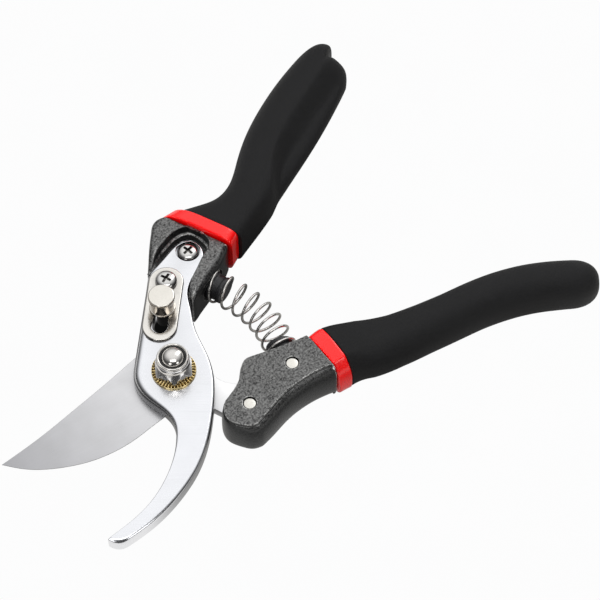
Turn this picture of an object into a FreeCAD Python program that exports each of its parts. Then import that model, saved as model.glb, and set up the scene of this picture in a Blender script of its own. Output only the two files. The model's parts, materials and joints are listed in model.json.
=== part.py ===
import FreeCAD, Part
import math
import os

# Pruning shears, millimetres.  Origin: centre of the flat underside of the pivot bolt head.
# +Z runs up the pivot axis to the nut.  +X runs midway between the open handles, the jaw
# points to -X.  The cutting blade is stored open; it closes by turning about the pivot.

# ---- heights along the pivot axis ----
BLADE_UNDER = 5.6
BLADE_TOP = 8.9
EDGE_LAND = 0.25
HOOK_UNDER = 9.0
HOOK_TOP = 14.0
HOOK_ROUND = 1.1
WASHER_TOP = 15.2
NUT_HEX_TOP = 20.6
NUT_TOP = 23.2
BOLT_TOP = 24.7
CAST_UNDER = 1.0
SIDE_LOW = 6.0
SIDE_HIGH = 13.0
RIM_TOP = 17.0
MOAT_FLOOR = 10.5
NOSE_TOP = 14.0
BAND_B_TOP = 16.8
GRIP_MID = 9.2
SPRING_MID = 8.6

# ---- pivot ----
BOLT_R = 3.96
BORE_R = 4.02
HEX_FLATS = 13.0
HEAD_THICK = 5.3
WASHER_R = 7.6
TEETH = 28
TOOTH_DEPTH = 1.6
COLLAR_R = 5.55
INSERT_R = 4.9

# ---- lock ----
LOCK_SHUT = (7.1, 16.8)
LOCK_TRAVEL = 7.5
LOCK_ANGLE = 44.8
PIN_R = 2.3
SLOT_HALF = 2.5
KEYHOLE_R = 3.1
PLATE_R = 6.1
PLATE_LENGTH = 18.0
PLATE_THICK = 0.95
CAP_R = 4.65
CAP_TOP = 22.3
CAP_WAIST_R = 4.35
CAP_RIM = 1.3
LOCK_WASHER_R = 4.5
LOCK_WASHER_THICK = 0.6
PIN_DEPTH = 4.0

# ---- screws and rivets ----
SCREW_HEAD_R = 3.8
SCREW_R = 2.0
HOOK_SCREW = (34.0, 35.2)
HOOK_SCREW_R = 2.5
RIVET_R = 2.05
RIVETS = ((11.5, -26.6), (32.0, -24.3))
RIVET_HOLE_R = 2.35
RIVET_SINK = 0.6

# ---- return spring ----
WIRE_R = 0.47
COIL_R = 5.53
TURNS = 7.5
STUD_R = 4.75
STUD_LENGTH = 4.9
SPRING_TOP = (33.9, 21.1)
SPRING_TOP_DIR = (0.330, -0.944)
SPRING_LOW = (34.3, -16.9)
SPRING_LOW_DIR = (0.359, 0.933)
SPRING_BOW = 16.5

# ---- gap between pieces of one half ----
SEAT = 0.05


def vec(point, z=0.0):
    return FreeCAD.Vector(point[0], point[1], z)


def wire_of(runs, z):
    """Closed wire from runs of points: two points make a line, more make a smooth curve."""
    edges = []
    for run in runs:
        points = [vec(p, z) for p in run]
        if len(points) == 2:
            edges.append(Part.makeLine(points[0], points[1]))
        else:
            curve = Part.BSplineCurve()
            curve.interpolate(points)
            edges.append(curve.toShape())
    return Part.Wire(edges)


def slab(runs, low, high):
    """Straight-walled solid on the outline, from z = low to z = high."""
    face = Part.Face(wire_of(runs, low))
    return face.extrude(FreeCAD.Vector(0, 0, high - low))


def inset(runs, amounts):
    """The outline moved inwards, each run by its own amount (the outline runs anticlockwise)."""
    chain = []
    shift = []
    for run, amount in zip(runs, amounts):
        for point in run[:-1]:
            chain.append(point)
            shift.append(amount)
    count = len(chain)
    starts = []
    total = 0
    for run in runs:
        starts.append(total)
        total += len(run) - 1
    for index, start in enumerate(starts):
        shift[start] = 0.5 * (amounts[index] + amounts[index - 1])
    moved = []
    for i in range(count):
        before = chain[i - 1]
        after = chain[(i + 1) % count]
        dx = after[0] - before[0]
        dy = after[1] - before[1]
        size = math.hypot(dx, dy)
        moved.append((chain[i][0] - shift[i] * dy / size, chain[i][1] + shift[i] * dx / size))
    result = []
    for index, run in enumerate(runs):
        start = starts[index]
        result.append([moved[(start + k) % count] for k in range(len(run))])
    return result


def ruled(low_runs, low, high_runs, high):
    """Solid with straight walls from one outline to another."""
    return Part.makeLoft([wire_of(low_runs, low), wire_of(high_runs, high)], True, True)


def rod(centre, radius, low, high):
    return Part.makeCylinder(radius, high - low, vec(centre, low))


def hexagon(flats, low, high, turn=0.0):
    points = []
    for i in range(6):
        a = math.radians(turn + 60.0 * i)
        points.append((flats / math.sqrt(3.0) * math.cos(a), flats / math.sqrt(3.0) * math.sin(a)))
    runs = [[points[i], points[(i + 1) % 6]] for i in range(6)]
    return slab(runs, low, high)


def oval_wire(station):
    """Superellipse across the handle: station is (x, y, heading, half width, half height, mid z, power)."""
    x, y, heading, half, tall, mid, power = station
    h = math.radians(heading)
    points = []
    for i in range(28):
        t = 2.0 * math.pi * i / 28
        c = math.cos(t)
        s = math.sin(t)
        across = half * math.copysign(abs(c) ** (2.0 / power), c)
        up = tall * math.copysign(abs(s) ** (2.0 / power), s)
        points.append(FreeCAD.Vector(x - across * math.sin(h), y + across * math.cos(h), mid + up))
    curve = Part.BSplineCurve()
    curve.interpolate(points, PeriodicFlag=True)
    return Part.Wire([curve.toShape()])


def oval_loft(stations):
    return Part.makeLoft([oval_wire(s) for s in stations], True, False)


def grown(stations, amount):
    return [(s[0], s[1], s[2], s[3] + amount, s[4] + amount, s[5], s[6]) for s in stations]


def lock_at(distance):
    a = math.radians(LOCK_ANGLE)
    return (LOCK_SHUT[0] + distance * math.cos(a), LOCK_SHUT[1] + distance * math.sin(a))


def stadium(radius, length, low, high):
    """Solid with two round ends along the lock's line, starting at the locked end."""
    a = math.radians(LOCK_ANGLE)
    far = lock_at(length)
    side = (-radius * math.sin(a), radius * math.cos(a))
    runs = [
        [(LOCK_SHUT[0] - side[0], LOCK_SHUT[1] - side[1]), (far[0] - side[0], far[1] - side[1])],
        [(far[0] - side[0], far[1] - side[1]), (far[0] + side[0], far[1] + side[1])],
        [(far[0] + side[0], far[1] + side[1]), (LOCK_SHUT[0] + side[0], LOCK_SHUT[1] + side[1])],
        [(LOCK_SHUT[0] + side[0], LOCK_SHUT[1] + side[1]), (LOCK_SHUT[0] - side[0], LOCK_SHUT[1] - side[1])],
    ]
    body = slab(runs, low, high)
    return body.fuse([rod(LOCK_SHUT, radius, low, high), rod(far, radius, low, high)]).removeSplitter()


# ---- outlines, anticlockwise seen from above ----

HOOK_INNER = [(-9.4, 10.3), (-11.6, 7.6), (-13.0, 4.4), (-13.6, 0.6), (-13.2, -4.0), (-12.3, -8.5),
              (-11.9, -12.5), (-12.6, -16.2), (-15.6, -21.0), (-22.0, -27.0), (-30.0, -31.7),
              (-37.0, -34.3), (-46.0, -35.7), (-55.9, -35.9)]
HOOK_TIP = [(-55.9, -35.9), (-54.6, -38.6), (-52.6, -40.1), (-50.0, -40.5)]
HOOK_OUTER = [(-50.0, -40.5), (-42.0, -40.6), (-35.0, -39.9), (-26.0, -37.8), (-17.0, -34.3), (-7.5, -28.1),
              (0.0, -21.2), (5.5, -15.2), (10.2, -8.4), (13.2, -0.9), (15.9, 8.2), (20.0, 16.0),
              (24.0, 22.3), (31.0, 26.6)]
HOOK_END = [(31.0, 26.6), (36.6, 29.6), (39.0, 34.0), (37.6, 38.4), (33.4, 40.0), (28.4, 39.2)]
HOOK_TOP_EDGE = [(28.4, 39.2), (17.4, 36.6)]
HOOK_BACK = [(17.4, 36.6), (-9.4, 10.3)]
HOOK = [HOOK_INNER, HOOK_TIP, HOOK_OUTER, HOOK_END, HOOK_TOP_EDGE, HOOK_BACK]
HOOK_INSETS = (0.35, 0.9, HOOK_ROUND, 0.5, 0.3, HOOK_ROUND)

BLADE_SPINE = [(4.4, 14.0), (0.5, 15.2), (-4.0, 15.2), (-15.0, 13.9), (-32.0, 12.3), (-50.0, 10.9), (-64.7, 10.7)]
BLADE_EDGE = [(-64.7, 10.7), (-60.0, 4.7), (-50.0, -3.0), (-41.0, -7.3), (-33.0, -9.4), (-25.0, -10.15),
              (-16.0, -9.85), (-8.5, -9.9)]
BLADE_NECK = [(-8.5, -9.9), (-2.5, -12.4), (1.2, -15.2), (3.0, -18.6), (3.9, -21.1), (4.9, -25.0)]
TANG = [(4.9, -25.0), (7.5, -29.6), (12.5, -30.6), (24.0, -28.4), (36.5, -27.2), (39.5, -25.6), (40.0, -22.8),
        (36.0, -20.6), (26.0, -18.6), (17.0, -17.0)]
NECK_FRONT = [(17.0, -17.0), (12.8, -13.0), (11.0, -8.6), (11.2, -4.4), (12.2, 0.0), (12.9, 4.2)]
CATCH = [(12.9, 4.2), (13.0, 7.4), (13.9, 10.2), (16.0, 12.0)]
HEEL = [(16.0, 12.0), (13.6, 15.0), (11.6, 15.4), (10.0, 14.0), (7.4, 13.3), (4.4, 14.0)]
BLADE = [BLADE_SPINE, BLADE_EDGE, BLADE_NECK, TANG, NECK_FRONT, CATCH, HEEL]
BLADE_GRIND = [(-64.7, 10.7), (-57.6, 8.3), (-47.6, 2.7), (-39.4, -1.0), (-32.0, -2.9), (-24.8, -3.7),
               (-16.2, -3.8), (-8.5, -9.9)]

CAST_A_BACK = [(16.4, 35.6), (20.4, 40.4), (28.0, 48.4)]
CAST_A_PEAK = [(28.0, 48.4), (30.6, 50.8), (33.6, 51.3), (35.9, 50.5)]
CAST_A_BAND = [(35.9, 50.5), (45.5, 26.9)]
CAST_A_INNER = [(45.5, 26.9), (40.0, 23.4), (33.9, 21.1), (28.0, 19.1), (22.6, 17.2)]
CAST_A_FRONT = [(22.6, 17.2), (20.4, 22.0), (18.3, 28.0), (16.4, 35.6)]
CAST_A = [CAST_A_FRONT[::-1], CAST_A_INNER[::-1], CAST_A_BAND[::-1], CAST_A_PEAK[::-1], CAST_A_BACK[::-1]]
CAST_A_INSETS = (0.0, 0.8, 0.0, 2.0, 1.2)
RIM = [[(24.0, 22.3), (31.0, 26.6), (38.6, 29.6), (41.6, 33.6), (41.4, 38.0), (39.2, 42.2), (36.0, 43.5)],
       [(36.0, 43.5), (31.5, 43.2), (26.5, 41.9), (22.6, 40.4), (18.6, 37.4), (15.0, 33.0)],
       [(15.0, 33.0), (24.0, 22.3)]]

CAST_B_TOP = [(42.8, -19.9), (35.6, -17.5), (29.4, -14.9), (24.2, -12.9)]
CAST_B_PEAK = [(24.2, -12.9), (20.9, -12.0), (18.6, -12.8), (14.8, -16.2), (9.2, -18.9), (5.3, -19.9)]
CAST_B_NOSE = [(5.3, -19.9), (2.2, -22.8), (1.0, -27.0), (2.8, -32.0), (5.5, -35.6), (8.8, -37.0)]
CAST_B_OUTER = [(8.8, -37.0), (14.3, -36.2), (20.8, -34.9), (28.0, -34.4), (35.0, -35.1), (41.9, -36.9)]
CAST_B_BAND = [(41.9, -36.9), (42.8, -19.9)]
CAST_B = [CAST_B_TOP, CAST_B_PEAK, CAST_B_NOSE, CAST_B_OUTER, CAST_B_BAND]
CAST_B_INSETS = (0.7, 0.7, 1.2, 3.4, 0.0)

# ---- handle stations: x, y, heading, half width, half height, mid height, power ----

BAND_A = [(40.9, 38.6, 22.2, 13.4, 9.7, 9.7, 3.2), (45.9, 39.6, 22.2, 12.4, 9.5, 9.5, 3.2)]
GRIP_A = [
    (46.3, 39.7, 22.2, 12.9, 9.6, 9.6, 3.2),
    (51.5, 38.8, 23.0, 11.2, 9.5, 9.5, 3.2),
    (58.5, 38.6, 23.9, 9.0, 9.4, 9.4, 3.2),
    (66.0, 41.5, 23.9, 8.3, 9.3, 9.3, 3.2),
    (76.0, 46.9, 23.9, 9.4, 9.2, 9.2, 3.2),
    (87.0, 52.6, 23.9, 11.1, 9.2, 9.2, 3.2),
    (98.0, 57.6, 23.9, 11.7, 9.2, 9.2, 3.2),
    (109.0, 62.3, 23.9, 11.6, 9.2, 9.2, 3.2),
    (119.0, 66.0, 23.9, 10.9, 9.1, 9.2, 3.2),
    (125.6, 68.3, 23.9, 9.8, 8.8, 9.2, 3.0),
    (129.4, 69.9, 23.9, 7.6, 7.2, 9.2, 2.6),
    (131.6, 71.6, 23.9, 4.0, 3.8, 9.2, 2.2),
]
CORE_A = [
    (39.5, 37.6, 22.2, 7.0, 5.5, 9.3, 5.0),
    (51.5, 38.8, 23.0, 6.0, 5.0, 9.3, 5.0),
    (66.0, 41.5, 23.9, 5.0, 4.0, 9.2, 5.0),
    (87.0, 52.6, 23.9, 5.0, 2.6, 9.2, 5.0),
    (109.0, 62.3, 23.9, 4.5, 2.4, 9.2, 5.0),
]
SCOOP_A = [[(70.4, 31.8), (75.2, 38.4), (80.6, 45.9), (86.6, 50.9), (100.8, 58.0), (112.0, 62.4), (136.0, 70.6)],
           [(136.0, 70.6), (136.0, 50.0)],
           [(136.0, 50.0), (70.0, 20.0)],
           [(70.0, 20.0), (70.4, 31.8)]]
SCOOP_UNDER = 5.0
SCOOP_OVER = 13.4

BAND_B = [(42.5, -28.4, -3.0, 9.3, 8.3, 8.3, 3.2), (48.0, -28.9, -3.0, 9.3, 8.5, 8.5, 3.2)]
GRIP_B = [
    (48.4, -28.9, -6.0, 9.8, 8.8, 8.8, 3.2),
    (57.0, -32.9, -16.0, 9.6, 9.0, 9.0, 2.9),
    (67.3, -37.1, -16.0, 8.5, 9.0, 9.0, 2.6),
    (78.3, -39.95, -13.5, 8.1, 9.0, 9.0, 2.4),
    (88.0, -42.2, -13.0, 7.9, 9.0, 9.0, 2.4),
    (97.5, -44.2, -14.0, 7.9, 9.0, 9.0, 2.4),
    (106.8, -46.9, -19.0, 8.0, 9.0, 9.0, 2.4),
    (115.7, -50.6, -26.0, 8.0, 9.0, 9.0, 2.4),
    (124.6, -55.8, -33.0, 7.9, 9.0, 9.0, 2.4),
    (131.4, -60.6, -37.0, 7.2, 8.6, 9.0, 2.3),
    (135.4, -63.6, -37.5, 5.4, 6.6, 9.0, 2.2),
    (137.7, -65.3, -37.5, 2.6, 3.2, 9.0, 2.0),
]
CORE_B = [
    (41.0, -28.3, -3.0, 5.2, 5.0, 8.6, 5.0),
    (57.0, -32.9, -16.0, 4.8, 4.5, 9.0, 5.0),
    (78.3, -39.95, -13.5, 4.0, 4.0, 9.0, 5.0),
    (97.5, -44.2, -14.0, 3.8, 3.6, 9.0, 5.0),
    (106.8, -46.9, -19.0, 3.6, 3.4, 9.0, 5.0),
]


def hook_plate():
    body = slab(HOOK, HOOK_UNDER, HOOK_TOP - HOOK_ROUND)
    body = body.fuse(ruled(HOOK, HOOK_TOP - HOOK_ROUND, inset(HOOK, HOOK_INSETS), HOOK_TOP))
    body = body.cut(rod((0, 0), BORE_R, 0, 30))
    body = body.cut(stadium(SLOT_HALF, LOCK_TRAVEL, 0, 30))
    body = body.cut(rod(lock_at(PLATE_LENGTH), SCREW_R + SEAT, 0, 30))
    body = body.cut(rod(HOOK_SCREW, HOOK_SCREW_R + SEAT, 0, 30))
    body = body.cut(rod(HOOK_SCREW, SCREW_HEAD_R + 0.4, HOOK_TOP - 1.8, 30))
    return body.removeSplitter()


def cutting_blade():
    ground = [BLADE_SPINE, BLADE_GRIND] + BLADE[2:]
    body = ruled(ground, BLADE_UNDER, BLADE, BLADE_TOP - EDGE_LAND)
    body = body.fuse(slab(BLADE, BLADE_TOP - EDGE_LAND, BLADE_TOP))
    body = body.cut(rod((0, 0), BORE_R, 0, 30))
    for place in RIVETS:
        body = body.cut(rod(place, RIVET_R + SEAT, 0, 30))
    return body.removeSplitter()


def pivot_bolt():
    head = hexagon(HEX_FLATS, 0.0, HEAD_THICK, 20.0)
    head = head.common(Part.makeCone(7.2, 8.4, HEAD_THICK, FreeCAD.Vector(0, 0, 0)))
    shank = rod((0, 0), BOLT_R, HEAD_THICK - 0.5, BOLT_TOP - 1.0)
    dome = Part.makeCone(BOLT_R, BOLT_R - 1.0, 1.0, FreeCAD.Vector(0, 0, BOLT_TOP - 1.0))
    return head.fuse([shank, dome]).removeSplitter()


def toothed_washer():
    ring = rod((0, 0), WASHER_R - TOOTH_DEPTH, HOOK_TOP + SEAT, WASHER_TOP)
    points = []
    for i in range(TEETH):
        a = 2.0 * math.pi * i / TEETH
        b = 2.0 * math.pi * (i + 0.32) / TEETH
        c = 2.0 * math.pi * (i + 0.55) / TEETH
        d = 2.0 * math.pi * (i + 0.87) / TEETH
        root = WASHER_R - TOOTH_DEPTH * 0.35
        points.append((WASHER_R * math.cos(a), WASHER_R * math.sin(a)))
        points.append((WASHER_R * math.cos(b), WASHER_R * math.sin(b)))
        points.append((root * math.cos(c), root * math.sin(c)))
        points.append((root * math.cos(d), root * math.sin(d)))
    runs = [[points[i], points[(i + 1) % len(points)]] for i in range(len(points))]
    teeth = slab(runs, HOOK_TOP + SEAT, WASHER_TOP - 0.35)
    return ring.fuse(teeth).cut(rod((0, 0), BOLT_R + 0.1, 0, 30)).removeSplitter()


def pivot_nut():
    body = hexagon(HEX_FLATS, WASHER_TOP + SEAT, NUT_HEX_TOP, 54.0)
    body = body.common(Part.makeCone(8.6, 6.7, 5.6, FreeCAD.Vector(0, 0, WASHER_TOP)))
    body = body.fuse(rod((0, 0), COLLAR_R, NUT_HEX_TOP - 0.5, NUT_TOP))
    body = body.cut(rod((0, 0), BOLT_R + SEAT, 0, 30))
    body = body.cut(rod((0, 0), INSERT_R, NUT_HEX_TOP + 0.3, NUT_TOP - 0.4))
    body = body.cut(rod((0, 0), INSERT_R - 0.3, NUT_TOP - 0.5, 30))
    return body.removeSplitter()


def nut_insert():
    body = rod((0, 0), INSERT_R - SEAT, NUT_HEX_TOP + 0.35, NUT_TOP - 0.45)
    return body.cut(rod((0, 0), BOLT_R + SEAT, 0, 30))


def lock_plate():
    body = stadium(PLATE_R, PLATE_LENGTH, HOOK_TOP + SEAT, HOOK_TOP + SEAT + PLATE_THICK)
    body = body.cut(stadium(SLOT_HALF, LOCK_TRAVEL, 0, 30))
    body = body.cut(rod(LOCK_SHUT, KEYHOLE_R, 0, 30))
    return body.cut(rod(lock_at(PLATE_LENGTH), SCREW_R + SEAT, 0, 30))


def cross_recess(place, top):
    """Cross slot for a Phillips driver, sunk from the head's top."""
    body = None
    for turn in (20.0, 110.0):
        bar = Part.makeBox(3.9, 0.95, 1.4, FreeCAD.Vector(-1.95, -0.475, 0))
        bar.rotate(FreeCAD.Vector(0, 0, 0), FreeCAD.Vector(0, 0, 1), turn)
        bar.translate(vec(place, top - 1.3))
        body = bar if body is None else body.fuse(bar)
    return body


def pan_screw(place, seat_z, shank_r, tip_z):
    top = seat_z + 2.3
    head = rod(place, SCREW_HEAD_R, seat_z, seat_z + 1.2)
    crown = Part.makeCone(SCREW_HEAD_R, SCREW_HEAD_R - 1.3, 1.1, vec(place, seat_z + 1.2))
    shank = rod(place, shank_r, tip_z, seat_z + 0.2)
    return head.fuse([crown, shank]).cut(cross_recess(place, top)).removeSplitter()


def lock_plate_screw():
    return pan_screw(lock_at(PLATE_LENGTH), HOOK_TOP + PLATE_THICK + 2 * SEAT, SCREW_R, HOOK_UNDER + 0.3)


def hook_screw():
    return pan_screw(HOOK_SCREW, HOOK_TOP - 1.8 + SEAT, HOOK_SCREW_R, CAST_UNDER + 1.5)


def lock_pin():
    return rod(lock_at(LOCK_TRAVEL), PIN_R, BLADE_UNDER + 0.5, CAP_TOP - PIN_DEPTH)


def lock_washer():
    place = lock_at(LOCK_TRAVEL)
    low = HOOK_TOP + PLATE_THICK + 3 * SEAT
    return rod(place, LOCK_WASHER_R, low, low + LOCK_WASHER_THICK).cut(rod(place, PIN_R + SEAT, 0, 30))


def lock_button():
    place = lock_at(LOCK_TRAVEL)
    low = HOOK_TOP + PLATE_THICK + LOCK_WASHER_THICK + 4 * SEAT
    waist = rod(place, CAP_WAIST_R, low, CAP_TOP - CAP_RIM + 0.1)
    cap = rod(place, CAP_R, CAP_TOP - CAP_RIM, CAP_TOP - 0.3)
    crown = Part.makeCone(CAP_R, CAP_R - 0.3, 0.3, vec(place, CAP_TOP - 0.3))
    body = waist.fuse([cap, crown])
    return body.cut(rod(place, PIN_R + SEAT, 0, CAP_TOP - PIN_DEPTH + SEAT)).removeSplitter()


def hook_casting():
    upper = inset(CAST_A, CAST_A_INSETS)
    body = ruled(upper, CAST_UNDER, CAST_A, SIDE_LOW)
    body = body.fuse(slab(CAST_A, SIDE_LOW, SIDE_HIGH))
    body = body.fuse(ruled(CAST_A, SIDE_HIGH, upper, RIM_TOP))
    body = body.cut(slab(inset(HOOK, (-0.12,) * 6), HOOK_UNDER - SEAT, 30))
    body = body.cut(slab(RIM, MOAT_FLOOR, 30))
    body = body.fuse(oval_loft(CORE_A))
    body = body.cut(slab(inset(HOOK, (-0.12,) * 6), HOOK_UNDER - SEAT, 30))
    body = body.cut(rod(HOOK_SCREW, HOOK_SCREW_R + SEAT, CAST_UNDER + 1.4, 30))
    socket = stud_solid(SPRING_TOP, SPRING_TOP_DIR, 2.2, -2.0, 0.01)
    return body.cut(socket).removeSplitter()


def blade_casting():
    upper = inset(CAST_B, CAST_B_INSETS)
    lean = (BAND_B_TOP - NOSE_TOP) / 42.4
    body = ruled(upper, 0.3, CAST_B, 5.0)
    body = body.fuse(slab(CAST_B, 5.0, 10.5))
    body = body.fuse(ruled(CAST_B, 10.5, upper, BAND_B_TOP))
    side = [(-10.0, NOSE_TOP - 10.0 * lean), (60.0, NOSE_TOP + 60.0 * lean), (60.0, 40.0), (-10.0, 40.0)]
    corners = [FreeCAD.Vector(p[0], -60.0, p[1]) for p in side]
    lid = Part.Face(Part.makePolygon(corners + corners[:1])).extrude(FreeCAD.Vector(0, 60, 0))
    body = body.cut(lid)
    body = body.fuse(oval_loft(CORE_B))
    body = body.cut(tang_slot())
    for place in RIVETS:
        body = body.cut(rod(place, RIVET_R + SEAT, -5, 30))
        body = body.cut(rod(place, RIVET_HOLE_R, NOSE_TOP - 1.2, 30))
        body = body.cut(rod(place, RIVET_HOLE_R, -5, 2.2))
    socket = stud_solid(SPRING_LOW, SPRING_LOW_DIR, 2.2, -2.0, 0.01)
    return body.cut(socket).removeSplitter()


def tang_slot():
    """Slot for the tang: it runs out through the nose and the front of the cheek."""
    runs = [[(-6.0, -8.0), (-6.0, -31.4)],
            [(-6.0, -31.4), (12.5, -31.4)],
            [(12.5, -31.4), (40.8, -28.0)],
            [(40.8, -28.0), (40.8, -20.0)],
            [(40.8, -20.0), (26.0, -17.8)],
            [(26.0, -17.8), (17.4, -16.2)],
            [(17.4, -16.2), (12.0, -8.0)],
            [(12.0, -8.0), (-6.0, -8.0)]]
    return slab(runs, BLADE_UNDER - SEAT, BLADE_TOP + SEAT)


def tang_rivets():
    solids = []
    for place in RIVETS:
        top = NOSE_TOP - RIVET_SINK
        shank = rod(place, RIVET_R, 1.4, top)
        solids.append(shank)
    return Part.makeCompound(solids)


def stud_solid(place, direction, radius, low, high):
    """Cylinder on the stud's axis, from low to high along it."""
    axis = FreeCAD.Vector(direction[0], direction[1], 0)
    axis.normalize()
    base = FreeCAD.Vector(place[0], place[1], SPRING_MID) + axis * low
    return Part.makeCylinder(radius, high - low, base, axis)


def spring_stud(place, direction):
    body = stud_solid(place, direction, STUD_R, 0.05, STUD_LENGTH)
    return body.fuse(stud_solid(place, direction, 2.15, -1.9, 0.1)).removeSplitter()


def spring_axis(t):
    """Bowed axis of the return spring, t from 0 at the hook handle to 1 at the blade handle."""
    p0 = SPRING_TOP
    p3 = SPRING_LOW
    p1 = (p0[0] + SPRING_BOW * SPRING_TOP_DIR[0], p0[1] + SPRING_BOW * SPRING_TOP_DIR[1])
    p2 = (p3[0] + SPRING_BOW * SPRING_LOW_DIR[0], p3[1] + SPRING_BOW * SPRING_LOW_DIR[1])
    u = 1.0 - t
    place = [u ** 3 * p0[i] + 3 * u * u * t * p1[i] + 3 * u * t * t * p2[i] + t ** 3 * p3[i] for i in (0, 1)]
    slope = [3 * u * u * (p1[i] - p0[i]) + 6 * u * t * (p2[i] - p1[i]) + 3 * t * t * (p3[i] - p2[i]) for i in (0, 1)]
    size = math.hypot(slope[0], slope[1])
    return place, (slope[0] / size, slope[1] / size)


def return_spring():
    points = []
    steps = int(TURNS * 14)
    for i in range(steps + 1):
        t = 0.025 + 0.95 * i / steps
        place, along = spring_axis(t)
        turn = 2.0 * math.pi * TURNS * i / steps
        side = COIL_R * math.cos(turn)
        x = place[0] - side * along[1]
        y = place[1] + side * along[0]
        points.append(FreeCAD.Vector(x, y, SPRING_MID + COIL_R * math.sin(turn)))
    curve = Part.BSplineCurve()
    curve.interpolate(points)
    path = Part.Wire([curve.toShape()])
    start = curve.tangent(curve.FirstParameter)[0]
    ring = Part.Wire([Part.makeCircle(WIRE_R, points[0], start)])
    return path.makePipeShell([ring], True, True)


def hook_band():
    return oval_loft(BAND_A).cut(oval_loft(grown(CORE_A, SEAT)))


def blade_band():
    return oval_loft(BAND_B).cut(oval_loft(grown(CORE_B, SEAT)))


def hook_grip():
    body = oval_loft(GRIP_A)
    body = body.cut(slab(SCOOP_A, SCOOP_OVER, 30))
    body = body.cut(slab(SCOOP_A, -5, SCOOP_UNDER))
    return body.cut(oval_loft(grown(CORE_A, SEAT)))


def blade_grip():
    return oval_loft(GRIP_B).cut(oval_loft(grown(CORE_B, SEAT)))


NODES = {
    "hook_plate": hook_plate,
    "cutting_blade": cutting_blade,
    "hook_casting": hook_casting,
    "blade_casting": blade_casting,
    "hook_grip": hook_grip,
    "blade_grip": blade_grip,
    "hook_band": hook_band,
    "blade_band": blade_band,
    "pivot_bolt": pivot_bolt,
    "pivot_nut": pivot_nut,
    "nut_insert": nut_insert,
    "toothed_washer": toothed_washer,
    "lock_plate": lock_plate,
    "lock_plate_screw": lock_plate_screw,
    "hook_screw": hook_screw,
    "lock_pin": lock_pin,
    "lock_washer": lock_washer,
    "lock_button": lock_button,
    "tang_rivets": tang_rivets,
    "hook_spring_stud": lambda: spring_stud(SPRING_TOP, SPRING_TOP_DIR),
    "blade_spring_stud": lambda: spring_stud(SPRING_LOW, SPRING_LOW_DIR),
    "return_spring": return_spring,
}

os.makedirs("parts", exist_ok=True)
for node, build in NODES.items():
    shape = build()
    box = shape.BoundBox
    print(node, "valid", shape.isValid(), "solids", len(shape.Solids), "volume", round(shape.Volume, 1),
          "x", round(box.XMin, 2), round(box.XMax, 2), "y", round(box.YMin, 2), round(box.YMax, 2),
          "z", round(box.ZMin, 2), round(box.ZMax, 2))
    shape.exportStep("parts/" + node + ".step")
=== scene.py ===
import json
import math
import bmesh
import bpy
import numpy as np
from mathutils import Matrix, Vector
from mathutils.geometry import delaunay_2d_cdt


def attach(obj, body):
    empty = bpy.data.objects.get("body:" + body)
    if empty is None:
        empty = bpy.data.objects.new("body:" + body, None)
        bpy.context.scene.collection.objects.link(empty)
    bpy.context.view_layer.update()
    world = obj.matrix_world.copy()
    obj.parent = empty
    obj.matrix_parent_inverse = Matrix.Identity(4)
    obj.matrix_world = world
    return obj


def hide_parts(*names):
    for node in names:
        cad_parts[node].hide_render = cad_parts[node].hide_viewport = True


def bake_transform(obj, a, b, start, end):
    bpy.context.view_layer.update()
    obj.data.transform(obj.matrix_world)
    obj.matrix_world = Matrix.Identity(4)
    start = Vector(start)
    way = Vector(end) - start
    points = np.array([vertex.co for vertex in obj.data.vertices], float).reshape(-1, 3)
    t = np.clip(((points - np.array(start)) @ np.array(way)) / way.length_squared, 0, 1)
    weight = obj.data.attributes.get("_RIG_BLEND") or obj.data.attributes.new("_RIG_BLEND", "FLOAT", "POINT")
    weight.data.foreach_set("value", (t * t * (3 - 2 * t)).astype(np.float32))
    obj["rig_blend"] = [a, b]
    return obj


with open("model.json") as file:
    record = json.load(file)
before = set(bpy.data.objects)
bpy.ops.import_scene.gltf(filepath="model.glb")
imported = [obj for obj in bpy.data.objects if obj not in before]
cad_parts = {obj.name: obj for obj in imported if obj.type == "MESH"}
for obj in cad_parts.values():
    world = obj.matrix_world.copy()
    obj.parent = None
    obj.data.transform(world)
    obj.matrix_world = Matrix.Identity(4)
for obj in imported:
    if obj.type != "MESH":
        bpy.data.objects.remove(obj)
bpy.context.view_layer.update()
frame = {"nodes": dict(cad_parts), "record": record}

# All shapes below are worked out in millimetres and scaled to metres when the mesh is made.
MM = 0.001

# ---- heights along the pivot axis ----
BLADE_UNDER, BLADE_TOP = 5.6, 8.9
HOOK_UNDER, HOOK_TOP = 9.0, 14.0
CAST_UNDER, RIM_TOP = 1.0, 17.0
MID_HEIGHT = 9.2
SPRING_MID = 8.6

# ---- lock line ----
LOCK_SHUT = np.array([7.1, 16.8])
LOCK_TRAVEL = 7.5
LOCK_ANGLE = math.radians(44.8)
LOCK_WAY = np.array([math.cos(LOCK_ANGLE), math.sin(LOCK_ANGLE)])
PLATE_R, PLATE_LENGTH = 6.1, 18.0
HOOK_SCREW = (34.0, 35.2)
BOLT_HOLE_R, SCREW_HOLE_R, SLOT_R = 4.02, 2.05, 2.5
RIVETS = ((11.5, -26.6), (32.0, -24.3))

# ---- return spring ----
SPRING_TOP, SPRING_TOP_WAY = (33.9, 21.1), (0.330, -0.944)
SPRING_LOW, SPRING_LOW_WAY = (34.3, -16.9), (0.359, 0.933)
SPRING_BOW = 16.5

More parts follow.
